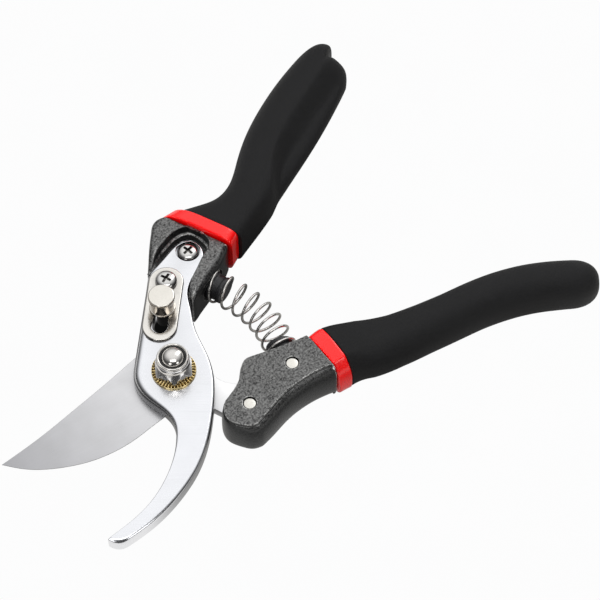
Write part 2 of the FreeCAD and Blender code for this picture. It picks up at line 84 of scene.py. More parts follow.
# ---- outlines, anticlockwise from above ----
HOOK = [
    [(-9.4, 10.3), (-11.6, 7.6), (-13.0, 4.4), (-13.6, 0.6), (-13.2, -4.0), (-12.3, -8.5), (-11.9, -12.5),
     (-12.6, -16.2), (-15.6, -21.0), (-22.0, -27.0), (-30.0, -31.7), (-37.0, -34.3), (-46.0, -35.7), (-55.9, -35.9)],
    [(-55.9, -35.9), (-54.6, -38.6), (-52.6, -40.1), (-50.0, -40.5)],
    [(-50.0, -40.5), (-42.0, -40.6), (-35.0, -39.9), (-26.0, -37.8), (-17.0, -34.3), (-7.5, -28.1), (0.0, -21.2),
     (5.5, -15.2), (10.2, -8.4), (13.2, -0.9), (15.9, 8.2), (20.0, 16.0), (24.0, 22.3), (31.0, 26.6)],
    [(31.0, 26.6), (36.6, 29.6), (39.0, 34.0), (37.6, 38.4), (33.4, 40.0), (28.4, 39.2)],
    [(28.4, 39.2), (17.4, 36.6)],
    [(17.4, 36.6), (-9.4, 10.3)],
]
HOOK_ROUND = [
    [(0, 2.8), (0.12, 2.4), (0.25, 1.5), (0.42, 0.8), (0.55, 0.35), (1, 0.2)],
    [(0, 0.8), (0.5, 2.2), (1, 1.4)],
    [(0, 1.3), (0.1, 1.4), (0.35, 1.2), (0.6, 0.9), (0.8, 0.7), (1, 0.5)],
    [(0, 0.4), (0.5, 0.8), (1, 0.8)],
    [(0, 0.8), (1, 1.4)],
    [(0, 1.6), (0.15, 2.6), (1, 2.8)],
]
BLADE_SPINE = [(4.4, 14.0), (0.5, 15.2), (-4.0, 15.2), (-15.0, 13.9), (-32.0, 12.3), (-50.0, 10.9), (-64.7, 10.7)]
BLADE_EDGE = [(-64.7, 10.7), (-60.0, 4.7), (-50.0, -3.0), (-41.0, -7.3), (-33.0, -9.4), (-25.0, -10.15),
              (-16.0, -9.85), (-8.5, -9.9)]
BLADE_GRIND = [(-64.7, 10.7), (-57.6, 8.3), (-47.6, 2.7), (-39.4, -1.0), (-32.0, -2.9), (-24.8, -3.7),
               (-16.2, -3.8), (-8.5, -9.9)]
BLADE_REST = [
    [(-8.5, -9.9), (-2.5, -12.4), (1.2, -15.2), (3.0, -18.6), (3.9, -21.1), (4.9, -25.0)],
    [(4.9, -25.0), (7.5, -29.6), (12.5, -30.6), (24.0, -28.4), (36.5, -27.2), (39.5, -25.6), (40.0, -22.8),
     (36.0, -20.6), (26.0, -18.6), (17.0, -17.0)],
    [(17.0, -17.0), (12.8, -13.0), (11.0, -8.6), (11.2, -4.4), (12.2, 0.0), (12.9, 4.2)],
    [(12.9, 4.2), (13.0, 7.4), (13.9, 10.2), (16.0, 12.0)],
    [(16.0, 12.0), (13.6, 15.0), (11.6, 15.4), (10.0, 14.0), (7.4, 13.3), (4.4, 14.0)],
]
# C-shaped wall of the hook handle's casting: front tip, near side, band end, peak, back, pocket.
WALL_A = [
    [(21.3, 16.9), (22.3, 17.0), (25.0, 18.0), (28.0, 19.1), (33.9, 21.1), (40.0, 23.4), (45.4, 26.7)],
    [(45.4, 26.7), (35.8, 50.5)],
    [(35.8, 50.5), (33.6, 51.3), (30.6, 50.8), (28.0, 48.4)],
    [(28.0, 48.4), (20.4, 40.4), (16.6, 35.9)],
    [(16.6, 35.9), (19.0, 37.2), (21.6, 39.0), (24.6, 40.8), (28.6, 42.1), (32.7, 43.1), (36.4, 43.0), (39.4, 41.7),
     (41.0, 38.9), (41.5, 35.4), (41.1, 32.0), (39.2, 30.1), (36.4, 29.0), (31.2, 26.3), (24.5, 22.1), (21.3, 16.9)],
]
WALL_A_ROUND = [
    [(0, 0.5), (0.12, 1.0), (0.4, 2.4), (1, 2.8)],
    [(0, 0.5), (1, 0.5)],
    [(0, 1.4), (1, 1.8)],
    [(0, 1.6), (1, 0.9)],
    [(0, 0.4), (1, 0.4)],
]
CORE_A = [
    [(16.9, 35.6), (18.3, 28.0), (20.4, 22.0), (22.6, 17.9)],
    [(22.6, 17.9), (28.0, 19.9), (33.9, 22.0), (40.0, 24.3), (44.6, 26.9)],
    [(44.6, 26.9), (35.0, 49.6)],
    [(35.0, 49.6), (32.0, 50.0), (28.4, 47.6)],
    [(28.4, 47.6), (16.9, 35.6)],
]
CAST_B = [
    [(42.9, -19.0), (35.6, -17.1), (29.4, -14.9), (24.2, -12.9)],
    [(24.2, -12.9), (20.9, -12.0), (18.6, -12.8), (14.8, -16.2), (9.2, -18.9), (5.3, -19.9)],
    [(5.3, -19.9), (2.2, -22.8), (1.0, -27.0), (2.8, -32.0), (5.5, -35.6), (8.8, -37.0)],
    [(8.8, -37.0), (14.3, -36.2), (20.8, -34.9), (28.0, -34.4), (35.0, -35.1), (41.9, -36.8)],
    [(41.9, -36.8), (42.9, -19.0)],
]
CAST_B_IN = [
    [(0, 0.6), (1, 0.6)],
    [(0, 0.7), (1, 0.7)],
    [(0, 0.8), (0.45, 1.3), (0.75, 2.4), (1, 3.0)],
    [(0, 3.2), (0.3, 3.6), (1, 3.4)],
    [(0, 0.3), (1, 0.3)],
]


# ======================= curves and loops =======================

def curve_through(points, count, even=True):
    """Natural cubic curve through the points, chord length as its parameter; count samples, evenly spaced."""
    p = np.asarray(points, float)
    if len(p) == 2:
        t = np.linspace(0.0, 1.0, count)[:, None]
        return p[0] * (1 - t) + p[1] * t
    knots = np.r_[0, np.cumsum(np.linalg.norm(np.diff(p[:, :2], axis=0), axis=1))]
    step = np.diff(knots)
    n = len(p)
    system = np.eye(n)
    right = np.zeros_like(p)
    i = np.arange(1, n - 1)
    system[i, i - 1] = step[:-1]
    system[i, i] = 2 * (step[:-1] + step[1:])
    system[i, i + 1] = step[1:]
    right[1:-1] = 6 * ((p[2:] - p[1:-1]) / step[1:, None] - (p[1:-1] - p[:-2]) / step[:-1, None])
    bend = np.linalg.solve(system, right)

    def at(t):
        k = np.clip(np.searchsorted(knots, t, "right") - 1, 0, n - 2)
        a, b, h = (knots[k + 1] - t)[:, None], (t - knots[k])[:, None], step[k][:, None]
        return (bend[k] * a ** 3 + bend[k + 1] * b ** 3) / (6 * h) + (p[k] / h - bend[k] * h / 6) * a \
            + (p[k + 1] / h - bend[k + 1] * h / 6) * b

    fine = np.linspace(0, knots[-1], 60 * n)
    if not even:
        return at(np.linspace(0, knots[-1], count))
    far = np.r_[0, np.cumsum(np.linalg.norm(np.diff(at(fine)[:, :2], axis=0), axis=1))]
    return at(np.interp(np.linspace(0, far[-1], count), far, fine))


def curve_value(x, table):
    """Smooth value at x from a table of (x, value), by the same natural cubic."""
    t = np.asarray(table, float)
    dense = curve_through(np.c_[t[:, 0] * 1.0, t[:, 1]], 400, even=False)
    order = np.argsort(dense[:, 0])
    return np.interp(x, dense[order, 0], dense[order, 1])


def outline(runs, spacing=0.5, counts=None):
    """Closed loop made of smooth runs; also gives each point's run and its share of the way along it."""
    loop, which, share = [], [], []
    for number, run in enumerate(runs):
        size = np.linalg.norm(np.diff(np.asarray(run, float), axis=0), axis=1).sum()
        count = counts[number] if counts else max(4, int(round(size / spacing)) + 1)
        loop.append(curve_through(run, count)[:-1])
        which.append(np.full(count - 1, number))
        share.append(np.linspace(0, 1, count)[:-1])
    return np.concatenate(loop), np.concatenate(which), np.concatenate(share)


def along(which, share, tables, blur=3):
    """A value for each point of an outline from one table per run, evened out over a few neighbours."""
    value = np.zeros(len(which))
    for number, table in enumerate(tables):
        t = np.asarray(table, float)
        on = which == number
        value[on] = np.interp(share[on], t[:, 0], t[:, 1])
    for _ in range(blur):
        value = (np.roll(value, 1) + 2 * value + np.roll(value, -1)) / 4
    return value


def outward(loop):
    """Unit normals of an anticlockwise loop, pointing out of it: the neighbours' chord turned a quarter right."""
    chord = np.roll(loop, -1, 0) - np.roll(loop, 1, 0)
    normal = np.c_[chord[:, 1], -chord[:, 0]]
    return normal / np.linalg.norm(normal, axis=1)[:, None]


def soften(loop, times):
    """Rounds a loop's corners by averaging each point with its neighbours."""
    for _ in range(times):
        loop = (np.roll(loop, 1, 0) + 2 * loop + np.roll(loop, -1, 0)) / 4
    return loop


def circle(centre, radius, count=64):
    a = np.linspace(0, 2 * math.pi, count, endpoint=False)
    return np.c_[centre[0] + radius * np.cos(a), centre[1] + radius * np.sin(a)]


def lock_at(distance):
    return LOCK_SHUT + LOCK_WAY * distance


def capsule(start, end, r_start, r_end, count=40):
    """Loop round two arcs on the lock's line, of radius r_start and r_end, joined by straight sides."""
    narrow = min(r_start, r_end)
    near = math.pi - math.asin(narrow / r_start) if r_start > r_end else math.pi / 2
    a = np.linspace(LOCK_ANGLE + math.pi - near, LOCK_ANGLE + math.pi + near, count)
    b = np.linspace(LOCK_ANGLE - math.pi / 2, LOCK_ANGLE + math.pi / 2, count)
    first = lock_at(start) + r_start * np.c_[np.cos(a), np.sin(a)]
    second = lock_at(end) + r_end * np.c_[np.cos(b), np.sin(b)]
    sides = np.linspace(0, 1, 12)[1:-1, None]
    return np.concatenate([first, first[-1] + (second[0] - first[-1]) * sides,
                           second, second[-1] + (first[0] - second[-1]) * sides])


# ======================= meshes =======================

def grid_faces(rows, cols, start=0, wrap=True):
    """Four-sided faces of a grid of points numbered row by row; wrap joins the last column to the first."""
    i = np.arange(rows - 1)[:, None]
    j = np.arange(cols if wrap else cols - 1)[None, :]
    k = (j + 1) % cols
    quads = np.stack([i * cols + j, i * cols + k, (i + 1) * cols + k, (i + 1) * cols + j], -1)
    return (start + quads.reshape(-1, 4)).tolist()


def cover(loops):
    """Triangles that fill the first loop (three numbers a point) and leave the others open."""
    points = np.concatenate(loops)
    edges, start = [], 0
    for loop in loops:
        ids = np.arange(len(loop))
        edges += np.c_[start + ids, start + (ids + 1) % len(loop)].tolist()
        start += len(loop)
    flat = [Vector(p) for p in points[:, :2].tolist()]
    _, _, faces, kept, _, _ = delaunay_2d_cdt(flat, edges, [], 1, 1e-6)
    faces = np.array([[kept[v][0] for v in f] for f in faces if all(kept[v] for v in f)])
    middle = points[faces][:, :, :2].mean(1)
    keep = inside(middle, loops[0])
    for loop in loops[1:]:
        keep &= ~inside(middle, loop)
    return points, faces[keep].tolist()


def inside(places, loop):
    """Which places lie in a loop: an odd number of the loop's sides cross the line running right from the place."""
    a, b = loop[None, :, :2], np.roll(loop, -1, 0)[None, :, :2]
    x, y = places[:, None, 0], places[:, None, 1]
    crosses = (a[..., 1] > y) != (b[..., 1] > y)
    rise = np.where(crosses, b[..., 1] - a[..., 1], 1.0)
    return (crosses & (x < a[..., 0] + (y - a[..., 1]) * (b[..., 0] - a[..., 0]) / rise)).sum(1) % 2 == 1


def make_piece(name, parts, crease=35.0):
    """Mesh object from (points, faces) parts in mm: doubles merged, faces turned outwards, creases kept sharp.

    The wall attribute is 0 where the surface faces up or down and 1 where it stands upright: the mask of painted
    shade on upright faces. The ridge mask is 1 on sharp outer edges: the mask of a painted highlight."""
    points, faces, start = [], [], 0
    for p, f in parts:
        points.append(np.asarray(p, float))
        faces += [[start + v for v in face] for face in f]
        start += len(p)
    mesh = bpy.data.meshes.new(name)
    mesh.from_pydata((np.concatenate(points) * MM).tolist(), [], faces)
    work = bmesh.new()
    work.from_mesh(mesh)
    bmesh.ops.remove_doubles(work, verts=work.verts, dist=2e-7)
    bmesh.ops.dissolve_degenerate(work, dist=1e-7, edges=work.edges)
    bmesh.ops.recalc_face_normals(work, faces=work.faces)
    work.to_mesh(mesh)
    work.free()
    piece = bpy.data.objects.new(name, mesh)
    bpy.context.scene.collection.objects.link(piece)
    smooth_with_creases(piece, crease)
    return piece


def point_places(piece):
    """Every point of a piece, one row each, in metres."""
    place = np.zeros(len(piece.data.vertices) * 3, np.float32)
    piece.data.vertices.foreach_get("co", place)
    return place.reshape(-1, 3)


def get_mark(piece, name):
    """The named attribute of a piece, one value for each point."""
    mark = np.zeros(len(piece.data.vertices), np.float32)
    piece.data.attributes[name].data.foreach_get("value", mark)
    return mark


def set_mark(piece, name, mark):
    """Writes the named attribute of a piece, one value for each point."""
    marks = piece.data.attributes
    layer = marks.get(name) or marks.new(name, "FLOAT", "POINT")
    layer.data.foreach_set("value", np.asarray(mark, np.float32))


def smooth_with_creases(piece, crease):
    """Smooth shading broken at edges sharper than crease degrees, then the masks of painted shade and highlight.

    The highlight mask is 1 on ridges: a point's mean drop towards its neighbours, against its own normal."""
    mesh = piece.data
    mesh.shade_smooth()
    mesh.set_sharp_from_angle(angle=math.radians(crease))
    normals = np.zeros(len(mesh.vertices) * 3, np.float32)
    mesh.vertex_normals.foreach_get("vector", normals)
    normals = normals.reshape(-1, 3)
    # Mask for painted shade: 1 on upright faces, 0 on faces that look up or down.
    set_mark(piece, "wall", np.clip((1 - np.abs(normals[:, 2])) * 1.6, 0, 1))
    # Mask for a painted highlight on ridges, from how far each point stands out over its neighbours.
    place = point_places(piece)
    ends = np.zeros(len(mesh.edges) * 2, np.int32)
    mesh.edges.foreach_get("vertices", ends)
    here, there = np.r_[ends[::2], ends[1::2]], np.r_[ends[1::2], ends[::2]]
    way = place[there] - place[here]
    drop = -(way * normals[here]).sum(1) / np.maximum(np.linalg.norm(way, axis=1), 1e-9)
    bulge = np.bincount(here, drop, len(place)) / np.maximum(np.bincount(here, minlength=len(place)), 1)
    set_mark(piece, "painted_ridge_highlight", np.clip((bulge - 0.07) / 0.12, 0, 1))


def set_painted_shading(piece, rule):
    """Rewrites the wall attribute, the mask of painted shade and light, of a piece by a rule of each point's x, y and z
    in mm.
    """
    x, y, z = point_places(piece).T / MM
    set_mark(piece, "wall", rule(x, y, z))


def stack(rings, holes=()):
    """Parts of a closed solid: matching loops one above the other, covered at both ends.

    A hole is (rings from top to bottom, goes_through); one that doesn't go through has a flat floor."""
    rings = np.asarray(rings)
    parts = [(rings.reshape(-1, 3), grid_faces(len(rings), rings.shape[1]))]
    parts.append(cover([rings[-1]] + [np.asarray(h[0][0]) for h in holes]))
    parts.append(cover([rings[0]] + [np.asarray(h[0][-1]) for h in holes if h[1]]))
    for hole, through in holes:
        hole = np.asarray(hole)
        faces = grid_faces(len(hole), hole.shape[1])
        if not through:
            last = (len(hole) - 1) * hole.shape[1]
            faces.append(list(range(last, last + hole.shape[1])))
        parts.append((hole.reshape(-1, 3), faces))
    return parts


def edge_rings(loop, low, high, r_low, r_top, mid=4, lean=None, steps=7):
    """Loops up a wall: quarter-round at the foot, straight wall, quarter-round at the top.

    Inset is r(1 - cos a) and height high - r + r sin a as a goes from 0 to 90 degrees; lean(z) adds its own
    outward shift to the straight part."""
    ones = np.ones(len(loop))
    low, high, r_low, r_top = low * ones, high * ones, r_low * ones, r_top * ones
    normal = outward(loop)
    inset, height = [r_low + 0.06], [low]
    for a in np.linspace(math.pi / 2, 0, 4):
        inset.append(r_low * (1 - math.cos(a)))
        height.append(low + r_low - r_low * math.sin(a))
    for t in np.linspace(0, 1, mid + 2)[1:-1]:
        inset.append(0 * ones)
        height.append((low + r_low) * (1 - t) + (high - r_top) * t)
    for a in np.linspace(0, math.pi / 2, steps):
        inset.append(r_top * (1 - math.cos(a)))
        height.append(high - r_top + r_top * math.sin(a))
    inset.append(r_top + 0.06)
    height.append(high)
    rings = []
    for i, z in zip(inset, height):
        shift = i if lean is None else i - lean(z)
        rings.append(np.c_[loop - normal * (shift * ones)[:, None], z])
    return rings


def bore(loop, steps):
    """Rings of a hole from top to bottom: each step is (how far the loop is grown, height)."""
    normal = outward(loop)
    return [np.c_[loop + normal * grow, np.full(len(loop), z)] for grow, z in steps]


def turned(profile, centre=(0, 0), count=72, ring=False):
    """Part turned about an upright axis: each (radius, height) of the profile is carried round the centre.

    A ring's profile is closed on itself and goes round a hole; otherwise an end off the axis gets a flat cover."""
    profile = np.asarray(profile + profile[:1] if ring else profile, float)
    a = np.linspace(0, 2 * math.pi, count, endpoint=False)
    r, z = profile[:, :1], profile[:, 1:]
    points = np.stack([centre[0] + r * np.cos(a), centre[1] + r * np.sin(a), z + 0 * a], -1)
    faces = grid_faces(len(profile), count)
    for end in () if ring else (0, len(profile) - 1):
        if profile[end, 0] > 1e-6:
            faces.append(list(range(end * count, (end + 1) * count)))
    return points.reshape(-1, 3), faces


def carried_round(a, rings):
    """Part round the pivot axis: each ring's radius and height are one number or one for every angle of a."""
    points = np.array([np.c_[r * np.cos(a), r * np.sin(a), z + 0 * a] for r, z in rings])
    return points.reshape(-1, 3), grid_faces(len(points), len(a))


def lay_along(points, place, way):
    """Turns a part made about the upright axis so that the axis runs level along way, starting at place."""
    way = np.array([way[0], way[1], 0.0]) / math.hypot(*way)
    side = np.array([-way[1], way[0], 0.0])
    base = np.array([place[0], place[1], SPRING_MID])
    return base + points[:, 2:] * way + points[:, :1] * side + points[:, 1:2] * np.array([0.0, 0.0, 1.0])


def rounded_profile(points, radius, steps=4):
    """Profile with each inner corner replaced by a small curve: two cuts at the radius and a blend between."""
    p = np.asarray(points, float)
    out = [p[0]]
    for before, corner, after in zip(p[:-2], p[1:-1], p[2:]):
        r = min(radius, 0.45 * np.linalg.norm(corner - before), 0.45 * np.linalg.norm(after - corner))
        a = corner + (before - corner) / np.linalg.norm(before - corner) * r
        b = corner + (after - corner) / np.linalg.norm(after - corner) * r
        for t in np.linspace(0, 1, steps):
            out.append((1 - t) ** 2 * a + 2 * t * (1 - t) * corner + t * t * b)
    out.append(p[-1])
    return np.array(out)


def carve(piece, cutter, crease):
    """Cuts one closed shape out of a piece and throws the cutter away."""
    cut = piece.modifiers.new("cut", "BOOLEAN")
    cut.operation = "DIFFERENCE"
    cut.solver = "EXACT"
    cut.object = cutter
    graph = bpy.context.evaluated_depsgraph_get()
    done = bpy.data.meshes.new_from_object(piece.evaluated_get(graph))
    piece.modifiers.clear()
    piece.data = done
    bpy.data.objects.remove(cutter)
    smooth_with_creases(piece, crease)


# ======================= blades =======================

def hook_plate_piece():
    """Hook: the outline raised 5 mm, its upper edge rounded by a radius that changes round the outline.

    The wall attribute, painted shade on the hook's upright sides, fades towards the tip, where less shade is painted."""
    loop, which, share = outline(HOOK, 0.5)
    loop = soften(loop, 2)
    r_top = along(which, share, HOOK_ROUND, blur=10)
    rings = edge_rings(loop, HOOK_UNDER, HOOK_TOP, 0.15, r_top)
    slot = capsule(0, LOCK_TRAVEL, SLOT_R, SLOT_R)
    bolt = circle((0, 0), BOLT_HOLE_R)
    small = circle(lock_at(PLATE_LENGTH), SCREW_HOLE_R, 32)
    sunk = circle(HOOK_SCREW, 4.25)
    through = [(0.12, HOOK_TOP), (0.0, 13.88), (0.0, 9.12), (0.12, HOOK_UNDER)]
    holes = [(bore(slot, through), True), (bore(bolt, through), True), (bore(small, through), True),
             (bore(sunk, [(0.15, HOOK_TOP), (0.0, 13.85), (0.0, 12.2), (-1.6, 12.2), (-1.6, HOOK_UNDER)]), True)]
    piece = make_piece("hook_plate_polished", stack(rings, holes))
    # Painted shade on the sides, weakened towards the tip.
    wall = get_mark(piece, "wall")
    set_painted_shading(piece, lambda x, y, z: wall * np.clip((x + 44.0) / 36.0, 0.1, 1))
    return piece


def blade_piece():
    """Cutting blade: flat upper face, the underside ground away from the grind line up to the edge.

    Towards the tip the underside climbs to the upper face, so that the point is thin."""
    counts = [max(4, int(np.linalg.norm(np.diff(np.asarray(r, float), axis=0), axis=1).sum() / 0.6) + 1)
              for r in [BLADE_SPINE, BLADE_EDGE] + BLADE_REST]
    full, which, share = outline([BLADE_SPINE, BLADE_EDGE] + BLADE_REST, counts=counts)
    ground, _, _ = outline([BLADE_SPINE, BLADE_GRIND] + BLADE_REST, counts=counts)
    edge = along(which, share, [[(0, 0.25), (1, 0.1)], [(0, 0.03), (0.9, 0.03), (1, 0.2)]] + [[(0, 0.2), (1, 0.2)]] * 5)
    normal = outward(full)
    thin = np.clip((-40.0 - full[:, 0]) / 24.7, 0, 1) ** 1.5
    under = BLADE_UNDER * (1 - thin) + 8.56 * thin
    rings = [np.c_[ground, under], np.c_[full, np.full(len(full), 8.62)]]
    for a in np.linspace(0, math.pi / 2, 4):
        inset = (edge * (1 - math.cos(a)))[:, None]
        rings.append(np.c_[full - normal * inset, BLADE_TOP - edge * (1 - math.sin(a))])
    rings.append(np.c_[full - normal * (edge + 0.05)[:, None], np.full(len(full), BLADE_TOP)])
    holes = [(bore(circle((0, 0), BOLT_HOLE_R), [(0, BLADE_TOP), (0, BLADE_UNDER)]), True)]
    return make_piece("cutting_blade_ground", stack(rings, holes), crease=24)


# ======================= castings =======================

def rim_height(x):
    """Rim of the hook handle's casting: level, but it runs down over the last stretch before the front tip."""
    t = np.clip((x - 20.5) / 7.0, 0, 1)
    return RIM_TOP - 3.2 * (1 - t) ** 2


def hook_casting_piece():
    """Casting of the hook handle: a C-shaped wall round a deep pocket, standing on a lower solid core.

    The wall is its outline raised to the rim, the rim's outer edge rounded by a radius of up to 3 mm; on the
    pocket side the wall steps outwards at a narrow ledge."""
    loop, which, share = outline(WALL_A, 0.5)
    loop = soften(loop, 3)
    r_top = along(which, share, WALL_A_ROUND, blur=8)
    pocket = along(which, share, [[(0, 0), (1, 0)]] * 4 + [[(0, 0), (0.08, 1), (0.62, 1), (0.75, 0), (1, 0)]], blur=8)

    def ledge(z):
        return pocket * (0.15 + 0.75 * np.clip((13.6 - z) / 0.3, 0, 1))

    rings = edge_rings(loop, CAST_UNDER, rim_height(loop[:, 0]), 0.8, r_top, mid=24, lean=ledge, steps=9)
    parts = stack(rings)
    core, _, _ = outline(CORE_A, 0.8)
    parts += stack(edge_rings(core, 1.2, 8.92, 0.5, 0.3, mid=2))
    moat, _, _ = outline([WALL_A[4][1:12], [WALL_A[4][11], WALL_A[4][1]]], 0.8)
    moat = moat[::-1]
    parts += stack(edge_rings(moat, 8.0, 10.2, 0.1, 0.1, mid=1))
    piece = make_piece("hook_casting_graphite", parts, crease=50)
    seat = make_piece("seat_cutter", [turned([(0, -1.3), (6.15, -1.3), (6.15, 5.0), (0, 5.0)], count=64)])
    points = np.array([v.co for v in seat.data.vertices]) / MM
    seat.data.vertices.foreach_set("co", (lay_along(points, SPRING_TOP, SPRING_TOP_WAY) * MM).ravel())
    carve(piece, seat, 50)
    return piece


def casting_top(x):
    """Upper face of the blade handle's casting: a plane that climbs from 14 mm at the nose to the band."""
    return 14.0 + 2.8 * x / 42.4


def blade_casting_piece():
    """Casting of the blade handle: a flat upper face with a beaded edge, the side bulging out below it.

    Each ring stands in from the widest outline by its share of an amount that changes round the outline. The crest
    of the bead gets a painted highlight where the side below it bulges."""
    loop, which, share = outline(CAST_B, 0.45)
    loop = soften(loop, 3)
    amount = along(which, share, CAST_B_IN, blur=12)
    section = [(0.75, 0.0), (0.45, 0.012), (0.22, 0.05), (0.07, 0.14), (0.0, 0.34), (0.03, 0.52), (0.13, 0.68),
               (0.30, 0.80), (0.47, 0.872), (0.58, 0.905), (0.66, 0.925), (0.735, 0.937), (0.79, 0.941),
               (0.835, 0.952), (0.865, 0.972), (0.905, 0.990), (0.96, 0.9985), (1.0, 1.0)]
    sec = curve_through(section, 44, even=False)
    normal = outward(loop)
    rings = [np.c_[loop - normal * (amount * 0.8 + 0.3)[:, None], np.full(len(loop), 0.4)]]
    for f, h in sec:
        flat = loop - normal * (amount * f)[:, None]
        top = casting_top(flat[:, 0])
        rings.append(np.c_[flat, 0.4 + (top - 0.4) * h])
    flat = loop - normal * (amount + 0.08)[:, None]
    rings.append(np.c_[flat, casting_top(flat[:, 0])])
    holes = []
    for place in RIVETS:
        ring = circle(place, 2.35, 40)
        steps = []
        for grow, drop in ((0.6, 0.0), (0.22, 0.0), (0.06, 0.06), (0.0, 0.22), (0.0, 1.5)):
            wide = ring + outward(ring) * grow
            steps.append(np.c_[wide, casting_top(wide[:, 0]) - drop])
        holes.append((steps, False))
    piece = make_piece("blade_casting_graphite", stack(rings, holes), crease=50)
    # Painted highlight: a light line along the crest of the bead, added to the ridge mask.
    painted_ridge_highlight = get_mark(piece, "painted_ridge_highlight")
    bead = np.outer(np.exp(-((sec[:, 0] - 0.87) / 0.035) ** 2), np.clip(amount / 2 - 0.6, 0, 1)).ravel()
    beaded = slice(len(loop), len(loop) + len(bead))
    painted_ridge_highlight[beaded] = np.maximum(painted_ridge_highlight[beaded], bead)
    set_mark(piece, "painted_ridge_highlight", painted_ridge_highlight)
    return piece


def rivet_pieces():
    """Two flush rivet heads: a low dome with a turned-down rim, on its shank."""
    parts = []
    for place in RIVETS:
        top = casting_top(place[0]) - 0.45
        parts.append(turned([(0, 1.4), (2.0, 1.4), (2.0, top - 0.5), (2.08, top - 0.4), (2.08, top - 0.16),
                             (1.98, top - 0.05), (1.75, top), (0.9, top + 0.03), (0, top + 0.03)], place, 48))
    return make_piece("tang_rivets_domed", parts)


# ======================= handles =======================

def superoval(w, power_near, power_far):
    """Height share across a handle, 1 in the middle and 0 at both sides: (1 - |2w - 1|^n)^(1/n)."""
    n = np.where(w < 0.5, power_near, power_far)
    return np.clip(1 - np.abs(2 * w - 1) ** n, 0, 1) ** (1 / n)


def two_sheets(place, low, high):
    """Closed handle from an upper and a lower sheet on the same grid: rows along it, columns across it.

    place holds x, y for each grid point and low, high the two heights; the sheets meet round the border."""
    rows, cols = low.shape
    top = np.concatenate([place, high[..., None]], -1)
    under = np.concatenate([place, low[..., None]], -1)
    sheet = np.concatenate([top, under[:, ::-1][:, 1:-1]], 1)
    parts = [(sheet.reshape(-1, 3), grid_faces(rows, sheet.shape[1]))]
    first = sheet[0]
    parts.append((first, [list(range(len(first)))]))
    count = sheet.shape[1]
    last = sheet[-1]
    pairs = [[i, i + 1, (count - i - 1) % count, (count - i) % count] for i in range(1, cols - 2)]
    pairs += [[0, 1, count - 1], [cols - 2, cols - 1, cols]]
    parts.append((last, pairs))
    return parts


def across(count):
    """Positions across a handle from 0 to 1, close together at both sides."""
    return (1 - np.cos(np.linspace(0, math.pi, count))) / 2


GRIP_A_EDGE = [(2.3, -0.2, 27.6), (7.6, -0.7, 22.25), (13.95, -1.4, 17.1), (22.0, -2.3, 15.6), (33.3, -2.9, 17.9),
               (45.7, -3.4, 20.4), (57.7, -3.6, 21.2), (69.7, -3.3, 20.9), (80.3, -2.7, 19.7), (90.0, -2.1, 18.0),
               (97.0, -1.8, 16.6)]
RIDGE_A = [(6.0, -9.0), (14.0, -5.0), (22.0, -1.8), (29.1, 1.6), (37.1, 5.6), (44.6, 7.8), (60.5, 8.6), (72.5, 8.1),
           (96.0, 7.4)]


def hook_grip_piece():
    """Sleeve on the hook handle: two sheets between a near and a far edge, thick along the outer ridge.

    Inside the ridge line both sheets drop by a smooth step to a thin web, which leaves the scoop; the end
    line has two lobes, and the thickness closes towards it like a superellipse."""
    rows, cols = 190, 97
    w = across(cols)[None, :]
    s = np.linspace(0, 1, rows) ** 0.9
    s = 1 - (1 - s) ** 1.25
    s = s[:, None]
    lobe = 90.8 + 4.7 / (1 + np.exp(-(w - 0.53) / 0.03))
    end = lobe - 8.0 * np.abs(2 * w - 1) ** 5 - 0.9 * np.exp(-((w - 0.485) / 0.05) ** 2)
    u = 2.25 + s * (end - 2.25)
    table = np.array(GRIP_A_EDGE)
    near = curve_value(u, table[:, [0, 1]])
    far = curve_value(u, table[:, [0, 2]])
    v = near + w * (far - near)
    ridge = curve_value(u, RIDGE_A)
    width = 3.4 + 5.0 * np.clip((u - 30) / 22, 0, 1)
    t = np.clip((ridge - v) / width, 0, 1) * np.clip((u - 10) / 16, 0, 1)
    scoop = t * t * (3 - 2 * t)
    full = 9.5 - 0.3 * np.clip(u / 40, 0, 1)
    up = full * (1 - scoop) + 4.3 * scoop
    down = full * (1 - scoop) + 4.2 * scoop
    boxy = 6.0 - 3.2 * np.clip(u / 26, 0, 1)
    shape = superoval(w, boxy, 2.4 + 0 * boxy)
    close = np.clip((u - (end - 8.0)) / 8.0, 0, 1)
    shape = shape * (1 - close ** 2.6) ** (1 / 2.6)
    start = np.clip((u - 2.25) / 0.5, 0, 1)
    shape = shape * (0.965 + 0.035 * np.sqrt(1 - (1 - start) ** 2))
    origin, way, side = np.array([49.0, 25.6]), np.array([0.914, 0.405]), np.array([-0.405, 0.914])
    place = origin + u[..., None] * way + v[..., None] * side
    mid = MID_HEIGHT + 0.4 * np.clip(1 - u / 12, 0, 1)
    return make_piece("hook_grip_foam", two_sheets(place, mid - down * shape, mid + up * shape), crease=60)


def hook_band_piece():
    """Red band on the hook handle: the sleeve's section, 5 mm long, with its two ends rounded off."""
    rows, cols = 15, 97
    w = across(cols)[None, :]
    s = np.linspace(0, 1, rows)[:, None]
    u = 0.36 + 4.6 * s
    near = -0.9 + 0.2 * s
    far = 28.4 - 2.4 * s
    v = near + w * (far - near) + 0 * u
    shape = superoval(w, 6.5, 2.6) * (1 - 0.03 * (np.abs(2 * s - 1) ** 12))
    origin, way, side = np.array([45.6, 26.2]), np.array([0.926, 0.378]), np.array([-0.378, 0.926])
    place = origin + (u + 0 * w)[..., None] * way + v[..., None] * side
    mid = 9.6
    return make_piece("hook_band_red", two_sheets(place, mid - 9.6 * shape, mid + 9.75 * shape), crease=60)


